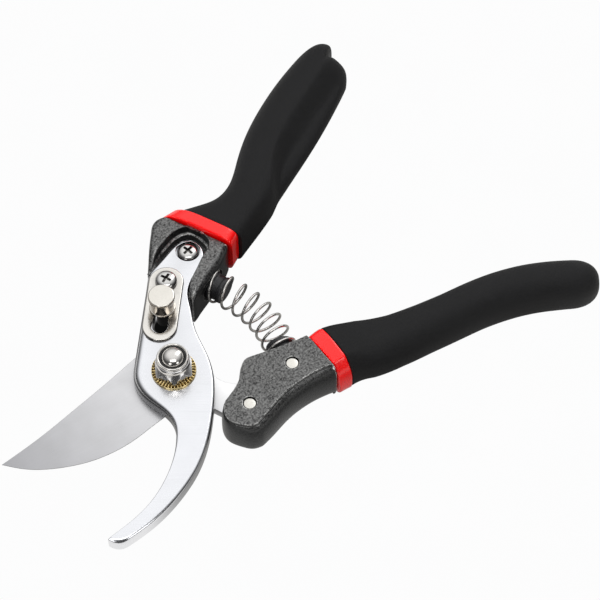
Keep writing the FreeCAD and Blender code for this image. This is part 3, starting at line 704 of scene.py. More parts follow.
BAND_B_SECTION = [
    [(-5.2, 16.5), (-1.0, 16.85), (4.0, 16.8), (7.8, 16.0)],
    [(7.8, 16.0), (9.4, 13.6), (9.8, 9.0), (9.2, 3.6), (7.6, 0.8)],
    [(7.6, 0.8), (0.0, 0.0), (-5.6, 0.05)],
    [(-5.6, 0.05), (-8.4, 0.8), (-9.6, 6.0), (-8.6, 11.4), (-5.2, 16.5)],
]
GRIP_B = [
    (42.5, -28.4, -3.0, 9.3, 8.3, 8.3, 3.2), (48.2, -28.8, -5.0, 9.7, 8.8, 8.8, 3.2),
    (57.0, -32.9, -16.0, 9.6, 9.0, 9.0, 2.9), (67.3, -37.1, -16.0, 8.5, 9.0, 9.0, 2.6),
    (78.3, -39.95, -13.5, 8.1, 9.0, 9.0, 2.4), (88.0, -42.2, -13.0, 7.9, 9.0, 9.0, 2.4),
    (97.5, -44.2, -14.0, 7.9, 9.0, 9.0, 2.4), (106.8, -46.9, -19.0, 8.0, 9.0, 9.0, 2.4),
    (115.7, -50.6, -26.0, 8.0, 9.0, 9.0, 2.4), (124.6, -55.8, -33.0, 7.9, 9.0, 9.0, 2.4),
    (131.4, -60.6, -37.0, 7.7, 8.9, 9.0, 2.4), (138.6, -66.0, -38.0, 7.3, 8.7, 9.0, 2.4),
]


def polar(loop, angles, mid):
    """Distance from (0, mid) to a closed loop in each direction."""
    a = np.arctan2(loop[:, 1] - mid, loop[:, 0])
    r = np.hypot(loop[:, 0], loop[:, 1] - mid)
    order = np.argsort(a)
    a, r = a[order], r[order]
    return np.interp(angles, np.r_[a[-1] - 2 * math.pi, a, a[0] + 2 * math.pi], np.r_[r[-1], r, r[0]])


def blade_handle_rings(places, lead, count=112):
    """Rings across the blade handle: the band's own section near the band, a superellipse further on.

    places is the way along the handle, as a number of stations; the two sections are mixed by direction over
    13 mm, lead of them already done at the first ring. Also gives the middle of each ring."""
    angles = np.linspace(-math.pi, math.pi, count, endpoint=False)
    band, _, _ = outline([r[::-1] for r in BAND_B_SECTION[::-1]], 0.15)
    first = polar(band, angles, 8.4)
    table = np.array(GRIP_B)
    t = np.asarray(places)
    k = np.arange(len(table))
    st = np.array([np.interp(t, k, table[:, i]) for i in range(7)]).T
    dense = curve_through(table[:, :2], 60 * len(table), even=False)
    knots = np.r_[0, np.cumsum(np.linalg.norm(np.diff(table[:, :2], axis=0), axis=1))]
    run = np.interp(t, k, knots)
    st[:, 0] = np.interp(run, np.linspace(0, knots[-1], len(dense)), dense[:, 0])
    st[:, 1] = np.interp(run, np.linspace(0, knots[-1], len(dense)), dense[:, 1])
    c, s = np.cos(angles), np.sin(angles)
    rings = []
    for x, y, heading, half, tall, mid, power in st:
        oval = (np.abs(c / half) ** power + np.abs(s / tall) ** power) ** (-1 / power)
        share = np.clip((np.hypot(x - st[0, 0], y - st[0, 1]) + lead) / 13.0, 0, 1)
        share = share * share * (3 - 2 * share)
        scale = half / 9.3
        radius = first * (1 - share) * scale + oval * share
        centre = 8.4 * (1 - share) + mid * share
        h = math.radians(heading)
        rings.append(np.c_[x - radius * c * math.sin(h), y + radius * c * math.cos(h), centre + radius * s])
    return np.array(rings), np.c_[st[:, 0], st[:, 1], st[:, 5]]


def closed_rings(rings, centre=0.0, shrink=None):
    """A stack of rings with a flat cover on the first and last; shrink draws each ring in towards its centre."""
    if shrink is not None:
        rings = centre[:, None] + (rings - centre[:, None]) * shrink[:, None, None]
    rows, cols = rings.shape[:2]
    faces = grid_faces(rows, cols)
    faces.append(list(range(cols)))
    faces.append(list(range((rows - 1) * cols, rows * cols)))
    return [(rings.reshape(-1, 3), faces)]


def blade_grip_piece():
    """Sleeve on the blade handle: rings along an S-shaped line; the end closes as a superellipse."""
    t = 0.955 + (10.88 - 0.955) * np.linspace(0, 1, 190) ** 0.97
    t = np.r_[np.linspace(0.955, 1.05, 6)[:-1], t[t > 1.05]]
    rings, centre = blade_handle_rings(t, 4.5)
    far = np.r_[0, np.cumsum(np.linalg.norm(np.diff(centre, axis=0), axis=1))]
    close = np.clip((far - (far[-1] - 10.5)) / 10.5, 0, 1)
    shrink = np.clip(1 - close ** 2.5, 0, 1) ** (1 / 2.5)
    start = np.clip(far / 0.5, 0, 1)
    shrink = shrink * (0.97 + 0.03 * np.sqrt(1 - (1 - start) ** 2)) + 1e-3
    return make_piece("blade_grip_foam", closed_rings(rings, centre, shrink), crease=60)


def blade_band_piece():
    """Red band on the blade handle: its own section carried 5.4 mm, both ends rounded off."""
    t = np.r_[np.linspace(0.005, 0.04, 5), np.linspace(0.08, 0.86, 8), np.linspace(0.9, 0.935, 5)]
    rings, centre = blade_handle_rings(t, -6.0)
    s = (t - t[0]) / (t[-1] - t[0])
    shrink = 1 - 0.035 * np.abs(2 * s - 1) ** 14
    return make_piece("blade_band_red", closed_rings(rings, centre, shrink), crease=40)


# ======================= pivot, lock and screws =======================

def hexagon_radius(angle, corner, flats=13.0):
    """Distance from the axis to a hexagon's side in a direction; one of its corners lies at the angle corner."""
    phi = np.mod(angle - math.radians(corner), math.pi / 3) - math.pi / 6
    return flats / 2 / np.cos(phi)


def pivot_nut_piece():
    """Locking nut: six flats whose corners are cut off by a steep cone, and a round collar above them.

    Round the axis, each ring's radius is the hexagon's; the cone meets a flat at the height where its own
    radius equals the hexagon's, which draws the arcs on the flats. The wall attribute marks the bore, which is painted
    dark as shade."""
    a = np.linspace(0, 2 * math.pi, 180, endpoint=False)
    hexa = np.minimum(hexagon_radius(a, 54.0, flats=12.3), 6.9)
    base, cone_top, cone_r, slope = 15.25, 20.3, 5.9, 4.4
    start = cone_top - (hexa - cone_r) * slope
    foot = base + np.clip(hexa - 6.6, 0, 9) * 0.6
    rings = [(5.9, base), (np.minimum(hexa, 6.6), base), (hexa, foot), (hexa, start)]
    for t in (0.35, 0.7):
        rings.append((hexa * (1 - t) + cone_r * t, start * (1 - t) + cone_top * t))
    collar = [(5.9, 20.3), (5.65, 20.75), (5.5, 21.2), (5.6, 22.5), (5.2, 23.2), (4.75, 23.1), (4.5, 22.6),
              (4.45, 21.4)]
    rings += list(rounded_profile(collar, 0.4, steps=6)) + [(4.0, 21.4), (4.0, base), rings[0]]
    piece = make_piece("pivot_nut_plated", [carried_round(a, rings)], crease=14)
    # Painted shade: the bore inside the collar is marked to be painted near black.
    set_painted_shading(piece, lambda x, y, z: (np.hypot(x, y) < 4.62) & (z > 21.0))
    return piece


def pivot_bolt_piece():
    """Pivot bolt: six-sided head underneath, round shank, and a ball-shaped end that shows in the nut."""
    a = np.linspace(0, 2 * math.pi, 144, endpoint=False)
    hexa = np.minimum(hexagon_radius(a, 20.0), 7.36)
    low = np.clip(hexa - 6.6, 0, 9) * 0.6
    rings = [(1e-4, 0.0), (6.1, 0.0), (hexa, low + 0.15), (hexa, 5.1), (hexa * 0.98, 5.3)]
    profile = [(3.96, 5.3), (3.96, 22.3), (3.92, 22.7), (3.8, 22.95)]
    t = np.linspace(math.radians(14), math.pi / 2, 14)
    profile += [(3.75 * math.cos(x), 22.75 + 1.95 * math.sin(x)) for x in t[:-1]] + [(1e-4, 24.7)]
    return make_piece("pivot_bolt_plated", [carried_round(a, rings + profile)], crease=40)


def toothed_washer_piece():
    """Ribbed washer: a flat ring whose margin carries 40 ribs, with a plain rim line outside them.

    Height over the margin is a raised cosine of 40 times the angle, faded in and out across the margin."""
    ribs, per = 40, 12
    a = np.linspace(0, 2 * math.pi, ribs * per, endpoint=False)
    wave = 0.5 + 0.5 * np.cos(ribs * a)
    rings = [(4.2, 14.06, 0), (7.35, 14.06, 0), (7.6, 14.25, 0), (7.62, 14.6, 0), (7.56, 14.75, 0), (7.46, 14.78, 0),
             (7.38, 14.76, 0.3), (7.28, 14.84, 1.0), (6.8, 14.98, 1.0), (6.2, 15.12, 1.0), (5.9, 15.2, 0.3),
             (5.7, 15.2, 0), (4.2, 15.2, 0), (4.2, 14.06, 0)]
    ribbed = [(r, z - dip * 0.5 * (1 - wave)) for r, z, dip in rings]
    piece = make_piece("toothed_washer_brass", [carried_round(a, ribbed)], crease=60)

    # Painted shade in the valleys between the ribs, following the ribs' cosine.
    def painted_valley_shade(x, y, z):
        far = np.hypot(x, y)
        return ((far > 5.92) & (far < 7.4) & (z > 14.2)) * (0.5 - 0.5 * np.cos(ribs * np.arctan2(y, x)))

    set_painted_shading(piece, painted_valley_shade)
    return piece


def lock_plate_piece():
    """Plate over the lock's slot: round-ended outline with a rolled edge and a keyhole."""
    loop = capsule(0, PLATE_LENGTH, PLATE_R, PLATE_R)
    rings = edge_rings(loop, 14.05, 15.0, 0.05, 0.5, mid=1, steps=7)
    keyhole = capsule(0, LOCK_TRAVEL, 3.1, SLOT_R)
    screw = circle(lock_at(PLATE_LENGTH), SCREW_HOLE_R, 32)
    steps = [(0.3, 15.0), (0.16, 14.96), (0.05, 14.86), (0.0, 14.7), (0.0, 14.05)]
    holes = [(bore(keyhole, steps), True), (bore(screw, [(0, 15.0), (0, 14.05)]), True)]
    return make_piece("lock_plate_nickel", stack(rings, holes))


def cross_cutter(place, top, turn):
    """Cross-shaped cutter that narrows downwards: a twelve-cornered plus drawn smaller at its foot."""
    def plus(arm, half):
        return np.array([(arm, -half), (arm, half), (half, half), (half, arm), (-half, arm), (-half, half),
                         (-arm, half), (-arm, -half), (-half, -half), (-half, -arm), (half, -arm), (half, -half)])
    c, s = math.cos(turn), math.sin(turn)
    spin = np.array([[c, s], [-s, c]])
    rings = [np.c_[plus(arm, half) @ spin + np.array(place), np.full(12, z)]
             for arm, half, z in ((0.9, 0.25, top - 1.75), (1.75, 0.4, top - 0.6), (2.15, 0.52, top + 0.3))]
    return make_piece("cross_cutter", stack(rings), crease=20)


def pan_screw_piece(name, place, seat, shank, tip, turn):
    """Pan-head screw: the head's edge is a tight curve, its crown a shallow dome, with a cross recess."""
    crown = [(3.8 * math.cos(t) ** 0.75, seat + 0.75 + 1.55 * math.sin(t))
             for t in np.linspace(0, math.pi / 2, 16)[:-1]]
    profile = [(0, tip), (shank * 0.6, tip), (shank, tip + 0.6), (shank, seat - 0.05), (3.7, seat), (3.8, seat + 0.15)]
    profile += crown + [(0, seat + 2.3)]
    piece = make_piece(name, [turned(profile, place, 72)], crease=40)
    carve(piece, cross_cutter(place, seat + 2.3, turn), 34)
    return piece


def lock_button_piece():
    """Thumb button: a drum with a slightly wider cap, the cap's rim broken by a small round."""
    place = lock_at(LOCK_TRAVEL)
    profile = [(0, 15.8), (4.2, 15.8), (4.32, 16.1), (4.35, 20.55), (4.55, 20.85), (4.65, 21.2), (4.65, 21.85),
               (4.5, 22.18), (4.25, 22.3), (0, 22.3)]
    return make_piece("lock_button_drum", [turned(rounded_profile(profile, 0.16), place, 96)], crease=40)


def lock_washer_piece():
    """Small washer under the button, edges rounded, standing a little out of the drum."""
    place = lock_at(LOCK_TRAVEL)
    ring = [(2.4, 15.15), (4.3, 15.15), (4.5, 15.25), (4.55, 15.45), (4.45, 15.65), (4.25, 15.72), (2.4, 15.72)]
    return make_piece("lock_washer_thin", [turned(ring, place, 72, ring=True)])


def spring_stud_piece(name, place, way):
    """Moulded spring stud: a drum with a wide foot, a shallow waist and a lip, its end face slightly dished.

    The wall attribute marks the end face, for painted light: it is painted a lighter grey than the drum."""
    profile = rounded_profile([(0, -1.25), (5.0, -1.25), (4.95, 0.5), (4.55, 1.0), (4.5, 3.3), (4.85, 3.8), (4.85, 4.8),
                               (4.5, 5.15), (3.9, 5.0), (0, 4.95)], 0.3)
    points, faces = turned(profile, count=72)
    piece = make_piece(name, [(lay_along(points, place, way), faces)], crease=40)
    size = math.hypot(*way)
    # Painted light on the end face.
    set_painted_shading(piece, lambda x, y, z: ((x - place[0]) * way[0] + (y - place[1]) * way[1]) / size > 4.85)
    return piece


def return_spring_piece():
    """Coil spring: a round wire carried along a helix whose own axis is a bowed curve between the studs.

    Turns crowd towards both ends, where the coil sits flat on its stud."""
    turns, steps, sides = 7.65, 640, 14
    t = np.linspace(0, 1, steps)
    p0, p3 = np.array(SPRING_TOP), np.array(SPRING_LOW)
    p1, p2 = p0 + SPRING_BOW * np.array(SPRING_TOP_WAY), p3 + SPRING_BOW * np.array(SPRING_LOW_WAY)
    s = -0.024 + 1.012 * (t - 0.11 * np.sin(2 * math.pi * t) / (2 * math.pi))
    q = s[:, None]
    axis = (1 - q) ** 3 * p0 + 3 * (1 - q) ** 2 * q * p1 + 3 * (1 - q) * q ** 2 * p2 + q ** 3 * p3
    slope = np.gradient(axis, axis=0)
    slope /= np.linalg.norm(slope, axis=1)[:, None]
    side = np.c_[-slope[:, 1], slope[:, 0]]
    turn = 2 * math.pi * turns * t
    line = np.c_[axis + 5.45 * np.cos(turn)[:, None] * side, SPRING_MID + 5.45 * np.sin(turn)]
    ahead = np.gradient(line, axis=0)
    ahead /= np.linalg.norm(ahead, axis=1)[:, None]
    out = np.c_[np.cos(turn)[:, None] * side, np.sin(turn)]
    out -= (out * ahead).sum(1)[:, None] * ahead
    out /= np.linalg.norm(out, axis=1)[:, None]
    up = np.cross(ahead, out)
    a = np.linspace(0, 2 * math.pi, sides, endpoint=False)
    points = line[:, None] + 0.47 * (np.cos(a)[None, :, None] * out[:, None] + np.sin(a)[None, :, None] * up[:, None])
    return make_piece("return_spring_wire", closed_rings(points), crease=60)


# ======================= finishes =======================

def put(tree, kind, inputs=None, **options):
    """Adds a node; an input is either a value for its socket or another node's output to join to it."""
    made = tree.nodes.new(kind)
    for key, value in options.items():
        setattr(made, key, value)
    for key, value in (inputs or {}).items():
        if isinstance(value, bpy.types.NodeSocket):
            tree.links.new(value, made.inputs[key])
        else:
            made.inputs[key].default_value = value
    return made


def detail_group():
    """Node group: specks, brushed lines and slow clouds, three values from 0 to 1 at a place on the object."""
    group = bpy.data.node_groups.new("finish_detail", "ShaderNodeTree")
    for name, kind in (("Place", "NodeSocketVector"), ("Speck Scale", "NodeSocketFloat"),
                       ("Brush Turn", "NodeSocketFloat")):
        group.interface.new_socket(name, in_out="INPUT", socket_type=kind)
    for name in ("Speck", "Brush", "Cloud"):
        group.interface.new_socket(name, in_out="OUTPUT", socket_type="NodeSocketFloat")
    enter = group.nodes.new("NodeGroupInput")
    leave = group.nodes.new("NodeGroupOutput")
    speck = put(group, "ShaderNodeTexNoise", {"Vector": enter.outputs["Place"], "Scale": enter.outputs["Speck Scale"],
                                              "Detail": 2.0, "Roughness": 0.6})
    spin = put(group, "ShaderNodeVectorRotate",
               {"Vector": enter.outputs["Place"], "Angle": enter.outputs["Brush Turn"]}, rotation_type="Z_AXIS")
    draw = put(group, "ShaderNodeVectorMath", {0: spin.outputs[0], 1: (40.0, 2600.0, 1500.0)}, operation="MULTIPLY")
    brush = put(group, "ShaderNodeTexNoise", {"Vector": draw.outputs[0], "Scale": 1.0, "Detail": 3.0})
    cloud = put(group, "ShaderNodeTexNoise", {"Vector": enter.outputs["Place"], "Scale": 130.0, "Detail": 3.0})
    for source, name in ((speck, "Speck"), (brush, "Brush"), (cloud, "Cloud")):
        spread = put(group, "ShaderNodeMapRange", {"Value": source.outputs[0], "From Min": 0.3, "From Max": 0.7})
        group.links.new(spread.outputs[0], leave.inputs[name])
    return group


DETAIL = detail_group()


def surface(name, dark, light, rough, metallic, mix=(0.5, 0.0, 0.5), speck_scale=2500.0, turn=0.0, bump=(0.1, 0.02),
            wall=None, painted_ridge_highlight=None, slides=(), **shader):
    """Material whose colour runs from dark to light with its specks, brushed lines and clouds.

    mix weighs those three. wall is (colour, amount) of painted shade on upright faces, the ridge argument the same for
    a painted highlight on sharp ridges; each slide is (x from, x to, colour) in mm and multiplies the colour along
    the piece. rough is the lowest and highest roughness.
    roughness."""
    material = bpy.data.materials.new(name)
    material.use_nodes = True
    tree = material.node_tree
    tree.nodes.clear()
    place = put(tree, "ShaderNodeTexCoord").outputs["Object"]
    detail = put(tree, "ShaderNodeGroup", node_tree=DETAIL)
    tree.links.new(place, detail.inputs["Place"])
    detail.inputs["Speck Scale"].default_value = speck_scale
    detail.inputs["Brush Turn"].default_value = turn
    total = None
    for output, share in zip(detail.outputs, mix):
        if share:
            part = put(tree, "ShaderNodeMath", {0: output, 1: share}, operation="MULTIPLY").outputs[0]
            total = part if total is None else put(tree, "ShaderNodeMath", {0: total, 1: part}).outputs[0]
    colour = put(tree, "ShaderNodeMix", {"Factor": total, "A": (*dark, 1), "B": (*light, 1)}, data_type="RGBA")
    colour = colour.outputs["Result"]
    for slide in slides:
        x = put(tree, "ShaderNodeSeparateXYZ", {0: place}).outputs[0]
        part = put(tree, "ShaderNodeMapRange", {"Value": x, "From Min": slide[0] * MM, "From Max": slide[1] * MM})
        colour = put(tree, "ShaderNodeMix", {"Factor": part.outputs[0], "A": colour, "B": (*slide[2], 1)},
                     data_type="RGBA", blend_type="MULTIPLY").outputs["Result"]
    # Painted shade: the wall mask mixes in the wall colour on upright faces.
    if wall:
        mask = put(tree, "ShaderNodeAttribute", attribute_name="wall").outputs["Fac"]
        part = put(tree, "ShaderNodeMath", {0: mask, 1: wall[1]}, operation="MULTIPLY").outputs[0]
        colour = put(tree, "ShaderNodeMix", {"Factor": part, "A": colour, "B": (*wall[0], 1)},
                     data_type="RGBA").outputs["Result"]
    # Painted highlight: the ridge mask, broken by specks, mixes in a light colour on sharp ridges.
    if painted_ridge_highlight:
        mask = put(tree, "ShaderNodeAttribute", attribute_name="painted_ridge_highlight").outputs["Fac"]
        part = put(tree, "ShaderNodeMath", {0: mask, 1: detail.outputs["Speck"]}, operation="MULTIPLY").outputs[0]
        part = put(tree, "ShaderNodeMath", {0: part, 1: painted_ridge_highlight[1] * 1.6}, operation="MULTIPLY", use_clamp=True).outputs[0]
        colour = put(tree, "ShaderNodeMix", {"Factor": part, "A": colour, "B": (*painted_ridge_highlight[0], 1)},
                     data_type="RGBA").outputs["Result"]
    rougher = put(tree, "ShaderNodeMapRange", {"Value": total, "To Min": rough[0], "To Max": rough[1]})
    relief = put(tree, "ShaderNodeBump", {"Height": total, "Strength": bump[0], "Distance": bump[1] * MM})
    skin = put(tree, "ShaderNodeBsdfPrincipled", {"Base Color": colour, "Roughness": rougher.outputs[0],
                                                  "Metallic": metallic, "Normal": relief.outputs[0]})
    for key, value in shader.items():
        skin.inputs[key.replace("_", " ")].default_value = value
    put(tree, "ShaderNodeOutputMaterial", {"Surface": skin.outputs[0]})
    return material


# Each wall colour is painted shade on upright faces; on the stud it is painted light on the end face.
LOOKS = {
    "hook": surface("polished_hook_steel", (0.82, 0.83, 0.86), (0.90, 0.91, 0.94), (0.15, 0.27), 1.0,
                    mix=(0.0, 0.5, 0.5), turn=0.7, bump=(0.015, 0.01), wall=((0.14, 0.135, 0.13), 0.9)),
    # Blade slides are a painted reflection: darker towards the tip, brighter near the pivot.
    "blade": surface("satin_blade_steel", (0.68, 0.68, 0.69), (0.755, 0.755, 0.77), (0.27, 0.36), 1.0,
                     mix=(0.0, 0.25, 0.75), turn=0.15, bump=(0.02, 0.01), wall=((0.10, 0.10, 0.10), 0.85),
                     slides=((-14.0, -64.0, (0.60, 0.60, 0.61)), (3.0, 10.0, (1.36, 1.36, 1.34)))),
    # Casting: the wall colour is painted shade on its sides, the light ridge colour a painted highlight.
    "casting": surface("graphite_casting", (0.004, 0.004, 0.004), (0.27, 0.27, 0.265), (0.24, 0.48), 0.9,
                       mix=(0.9, 0.0, 0.1), speck_scale=1550.0, bump=(0.8, 0.06), wall=((0.024, 0.025, 0.026), 0.85),
                       painted_ridge_highlight=((0.92, 0.92, 0.90), 0.95), Coat_Weight=0.35, Coat_Roughness=0.14),
    "grip": surface("black_foam_rubber", (0.0015, 0.0015, 0.0018), (0.013, 0.013, 0.0135), (0.5, 0.8), 0.0,
                    mix=(0.85, 0.0, 0.15), speck_scale=3300.0, bump=(0.8, 0.06), Specular_IOR_Level=0.26),
    "band": surface("glossy_red_band", (0.84, 0.0, 0.0), (1.0, 0.002, 0.002), (0.16, 0.28), 0.0,
                    mix=(0.3, 0.0, 0.7), bump=(0.08, 0.01), Coat_Weight=0.4, Coat_Roughness=0.05),
    "nut": surface("plated_nut_steel", (0.62, 0.60, 0.57), (0.86, 0.84, 0.81), (0.10, 0.22), 1.0,
                   mix=(0.3, 0.1, 0.6), bump=(0.12, 0.008), wall=((0.006, 0.006, 0.006), 0.97)),
    "bolt": surface("plated_bolt_steel", (0.62, 0.60, 0.57), (0.84, 0.82, 0.79), (0.12, 0.24), 1.0,
                    mix=(0.4, 0.0, 0.6), bump=(0.15, 0.008)),
    "nylon": surface("dark_nylon_ring", (0.004, 0.004, 0.004), (0.012, 0.012, 0.012), (0.45, 0.6), 0.0,
                     bump=(0.2, 0.01)),
    "washer": surface("yellow_zinc_washer", (0.74, 0.52, 0.18), (0.98, 0.82, 0.46), (0.14, 0.28), 1.0,
                      mix=(0.5, 0.0, 0.5), bump=(0.1, 0.01), wall=((0.05, 0.024, 0.003), 1.0)),
    "plate": surface("nickel_lock_plate", (0.74, 0.72, 0.68), (0.90, 0.87, 0.82), (0.12, 0.26), 1.0,
                     mix=(0.2, 0.45, 0.35), turn=0.78, bump=(0.08, 0.004), wall=((0.04, 0.035, 0.03), 0.95)),
    "button": surface("nickel_button", (0.76, 0.73, 0.67), (0.88, 0.85, 0.79), (0.08, 0.18), 1.0,
                      mix=(0.4, 0.0, 0.6), bump=(0.08, 0.004), wall=((0.36, 0.31, 0.25), 0.8)),
    "screw": surface("nickel_screw", (0.60, 0.59, 0.57), (0.84, 0.83, 0.81), (0.10, 0.22), 1.0,
                     mix=(0.4, 0.0, 0.6), bump=(0.12, 0.006), wall=((0.05, 0.045, 0.04), 0.85)),
    "rivet": surface("bright_rivet", (0.74, 0.72, 0.66), (0.92, 0.90, 0.84), (0.25, 0.40), 1.0,
                     mix=(0.5, 0.0, 0.5), bump=(0.2, 0.01)),
    "stud": surface("black_spring_stud", (0.006, 0.006, 0.007), (0.022, 0.022, 0.024), (0.28, 0.45), 0.0,
                    mix=(0.6, 0.0, 0.4), bump=(0.3, 0.02), wall=((0.06, 0.062, 0.066), 0.9)),
    "spring": surface("spring_wire_steel", (0.62, 0.60, 0.57), (0.88, 0.86, 0.83), (0.20, 0.34), 1.0,
                      mix=(0.4, 0.2, 0.4), bump=(0.05, 0.006)),
    # Lock pin near black as painted shade, for the shade in the lock's slot.
    "pin": surface("lock_pin_painted_shade", (0.010, 0.010, 0.010), (0.035, 0.033, 0.03), (0.3, 0.5), 0.6,
                   mix=(0.5, 0.0, 0.5), bump=(0.2, 0.01)),
}


# ======================= putting the pieces on the frame =======================

GROUPS = frame["record"]["behaviour"]["bodies"]
BODY = {node: body for body, nodes in GROUPS.items() for node in nodes}


def stand_in(piece, node, look, rides=True):
    """Gives a piece its finish, lets it stand for a CAD node and moves it with that node's body."""
    piece.data.materials.clear()
    piece.data.materials.append(LOOKS[look])
    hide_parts(node)
    if rides:
        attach(piece, BODY[node])


for make, node, look in (
        (hook_plate_piece, "hook_plate", "hook"),
        (blade_piece, "cutting_blade", "blade"),
        (hook_casting_piece, "hook_casting", "casting"),
        (blade_casting_piece, "blade_casting", "casting"),
        (hook_grip_piece, "hook_grip", "grip"),
        (blade_grip_piece, "blade_grip", "grip"),
        (hook_band_piece, "hook_band", "band"),
        (blade_band_piece, "blade_band", "band"),
        (pivot_bolt_piece, "pivot_bolt", "bolt"),
        (pivot_nut_piece, "pivot_nut", "nut"),
        (toothed_washer_piece, "toothed_washer", "washer"),
        (lock_plate_piece, "lock_plate", "plate"),
        (lambda: pan_screw_piece("lock_plate_screw_pan", lock_at(PLATE_LENGTH), 15.05, 1.95, 9.6, 0.35),
         "lock_plate_screw", "screw"),
        (lambda: pan_screw_piece("hook_screw_pan", HOOK_SCREW, 12.25, 2.5, 3.0, 0.15), "hook_screw", "screw"),
        (lock_washer_piece, "lock_washer", "button"),
        (lock_button_piece, "lock_button", "button"),
        (rivet_pieces, "tang_rivets", "rivet"),
        (lambda: spring_stud_piece("hook_stud_moulded", SPRING_TOP, SPRING_TOP_WAY), "hook_spring_stud", "stud"),
        (lambda: spring_stud_piece("blade_stud_moulded", SPRING_LOW, SPRING_LOW_WAY), "blade_spring_stud", "stud")):
    stand_in(make(), node, look)
spring = return_spring_piece()
stand_in(spring, "return_spring", "spring", rides=False)
low, high = np.array(SPRING_LOW), np.array(SPRING_TOP)
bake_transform(spring, "hook_half", "blade_half", start=(*((high + (high - low) * 0.08) * MM), SPRING_MID * MM),
         end=(*((low - (high - low) * 0.08) * MM), SPRING_MID * MM))

for node, look in (("nut_insert", "nylon"), ("lock_pin", "pin")):
    kept = frame["nodes"][node]
    kept.data.materials.clear()
    kept.data.materials.append(LOOKS[look])


# ======================= floor, light and camera =======================

SHADE_PLACE = (0.0127, 0.0238, 0.0)
PAINTED_SHADOW_MIDDLE = (0.055, -0.005, 0.0)
LAMP_AIM = (0.03, 0.0, 0.0)
BRIGHTEST_WAY = (0.3455, 0.4116, 0.8434)
CAMERA_PLACE = (-0.213326, -0.320733, 0.659384)
CAMERA_WAY = (0.642788, 0.766044)
CAMERA_RISE = math.radians(57.5)


def floor_material():
    """Pale floor: white to the eye; what the metal mirrors of it is patchy grey, with a painted shadow near the shears,
    white further out.

    The shade that the closed-in lock throws is a soft dark spot, seen through the lock's slot from above. It is
    left out of low views."""
    material = bpy.data.materials.new("pale_floor")
    material.use_nodes = True
    tree = material.node_tree
    tree.nodes.clear()
    place = put(tree, "ShaderNodeTexCoord").outputs["Object"]
    mottle = put(tree, "ShaderNodeTexNoise", {"Vector": place, "Scale": 30.0, "Detail": 3.0})
    pale = put(tree, "ShaderNodeMix", {"Factor": mottle.outputs[0], "A": (0.972, 0.972, 0.974, 1),
                                       "B": (0.985, 0.985, 0.986, 1)}, data_type="RGBA")
    seen = put(tree, "ShaderNodeLightPath").outputs["Is Camera Ray"]
    away = put(tree, "ShaderNodeVectorMath", {0: place, 1: SHADE_PLACE}, operation="DISTANCE")
    lit = put(tree, "ShaderNodeMapRange", {"Value": away.outputs["Value"], "From Min": 0.0026, "From Max": 0.0064,
                                           "To Min": 0.004, "To Max": 1.0}, interpolation_type="SMOOTHSTEP")
    steep = put(tree, "ShaderNodeVectorMath", {0: put(tree, "ShaderNodeNewGeometry").outputs["Incoming"],
                                               1: (0.0, 0.0, 1.0)}, operation="DOT_PRODUCT")
    low = put(tree, "ShaderNodeMapRange", {"Value": steep.outputs["Value"], "From Min": 0.80, "From Max": 0.60,
                                           "To Min": 0.0, "To Max": 1.0}, interpolation_type="SMOOTHSTEP")
    lit = put(tree, "ShaderNodeMath", {0: lit.outputs[0], 1: low.outputs[0]}, operation="MAXIMUM")
    white = put(tree, "ShaderNodeEmission", {"Color": pale.outputs["Result"], "Strength": lit.outputs[0]})
    patch = put(tree, "ShaderNodeTexNoise", {"Vector": place, "Scale": 14.0, "Detail": 1.0})
    # Seen in the metal, the floor glows patchy grey, with a painted shadow round the shears that clears to white
    # further out.
    tone = put(tree, "ShaderNodeMapRange", {"Value": patch.outputs[0], "From Min": 0.40, "From Max": 0.60,
                                            "To Min": 0.10, "To Max": 0.52})
    bulk = put(tree, "ShaderNodeVectorMath", {0: place, 1: PAINTED_SHADOW_MIDDLE}, operation="DISTANCE")
    clear = put(tree, "ShaderNodeMapRange", {"Value": bulk.outputs["Value"], "From Min": 0.062, "From Max": 0.105,
                                             "To Min": 0.0, "To Max": 0.95})
    glow = put(tree, "ShaderNodeMath", {0: tone.outputs[0], 1: clear.outputs[0]}, operation="MAXIMUM")
    grey = put(tree, "ShaderNodeEmission", {"Color": (1.0, 0.99, 0.97, 1), "Strength": glow.outputs[0]})
    both = put(tree, "ShaderNodeMixShader", {0: seen, 1: grey.outputs[0], 2: white.outputs[0]})
    put(tree, "ShaderNodeOutputMaterial", {"Surface": both.outputs[0]})
    return material


def floor():
    """Wide level sheet just under the shears."""
    side = np.linspace(-1.5, 1.5, 25)
    x, y = np.meshgrid(side, side)
    mesh = bpy.data.meshes.new("floor")
    mesh.from_pydata(np.c_[x.ravel(), y.ravel(), np.full(x.size, -0.0006)].tolist(), [],
                     [f[::-1] for f in grid_faces(25, 25, wrap=False)])
    sheet = bpy.data.objects.new("floor", mesh)
    bpy.context.scene.collection.objects.link(sheet)
    mesh.materials.append(floor_material())


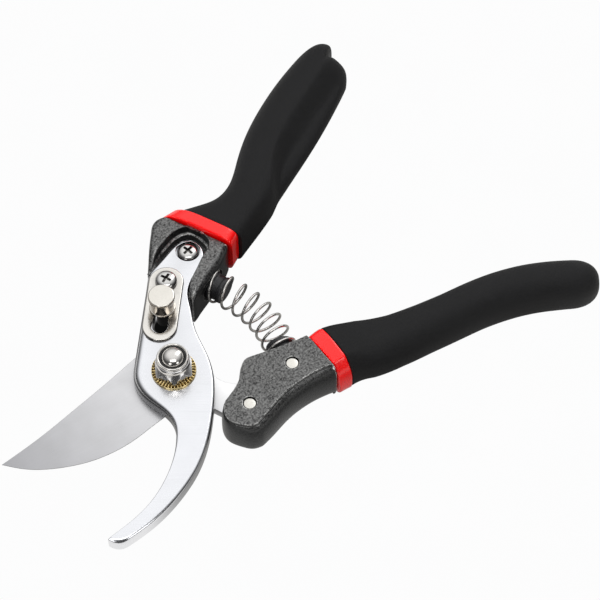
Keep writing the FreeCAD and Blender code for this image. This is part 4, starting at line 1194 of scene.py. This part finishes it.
def sky():
    """Studio surroundings: brightest high up behind the shears, falling off all round."""
    world = bpy.data.worlds.new("studio")
    bpy.context.scene.world = world
    world.use_nodes = True
    tree = world.node_tree
    tree.nodes.clear()
    way = put(tree, "ShaderNodeTexCoord").outputs["Generated"]
    facing = put(tree, "ShaderNodeVectorMath", {0: way, 1: BRIGHTEST_WAY}, operation="DOT_PRODUCT")
    ramp = put(tree, "ShaderNodeValToRGB", {"Fac": facing.outputs["Value"]})
    stops = ramp.color_ramp.elements
    stops[0].position, stops[0].color = 0.0, (0.05, 0.05, 0.052, 1)
    stops[1].position, stops[1].color = 1.0, (1.04, 1.04, 1.04, 1)
    for position, value in ((0.35, 0.08), (0.6, 0.24), (0.78, 0.62), (0.9, 0.97)):
        stop = stops.new(position)
        stop.color = (value, value, value * 1.01, 1)
    glow = put(tree, "ShaderNodeBackground", {"Color": ramp.outputs[0], "Strength": 1.0})
    put(tree, "ShaderNodeOutputWorld", {"Surface": glow.outputs[0]})


def softbox(name, place, aim, size, power, mirrored=True):
    """Rectangular lamp at place, turned towards aim; mirrored says if shiny metal shows it."""
    lamp = bpy.data.lights.new(name, "AREA")
    lamp.shape = "RECTANGLE"
    lamp.size, lamp.size_y = size
    lamp.energy = power
    box = bpy.data.objects.new(name, lamp)
    box.location = place
    box.visible_glossy = mirrored
    box.rotation_euler = (Vector(aim) - Vector(place)).to_track_quat("-Z", "Y").to_euler()
    bpy.context.scene.collection.objects.link(box)


floor()
sky()
softbox("key_softbox", (-0.55, 0.55, 0.75), LAMP_AIM, (0.7, 0.7), 11.0, mirrored=False)
softbox("side_strip", (0.7, 0.25, 0.45), (0.05, 0.0, 0.0), (0.25, 0.8), 1.1)
softbox("overhead_box", (-0.12, -0.20, 0.88), LAMP_AIM, (0.60, 0.28), 1.3)
softbox("front_left_card", (-0.62, -0.30, 0.42), LAMP_AIM, (0.24, 0.40), 0.6)
softbox("front_right_card", (0.10, -0.72, 0.40), LAMP_AIM, (0.24, 0.40), 0.6)
softbox("front_fill", (0.25, -0.75, 0.45), LAMP_AIM, (0.5, 0.5), 1.8, mirrored=False)

camera = bpy.data.objects.new("camera", bpy.data.cameras.new("camera"))
camera.data.sensor_width = 36.0
camera.data.lens = 132.75
camera.location = CAMERA_PLACE
looking = Vector((CAMERA_WAY[0] * math.cos(CAMERA_RISE), CAMERA_WAY[1] * math.cos(CAMERA_RISE), -math.sin(CAMERA_RISE)))
camera.rotation_euler = looking.to_track_quat("-Z", "Y").to_euler()
bpy.context.scene.collection.objects.link(camera)
bpy.context.scene.camera = camera
bpy.context.scene.view_settings.view_transform = "Standard"
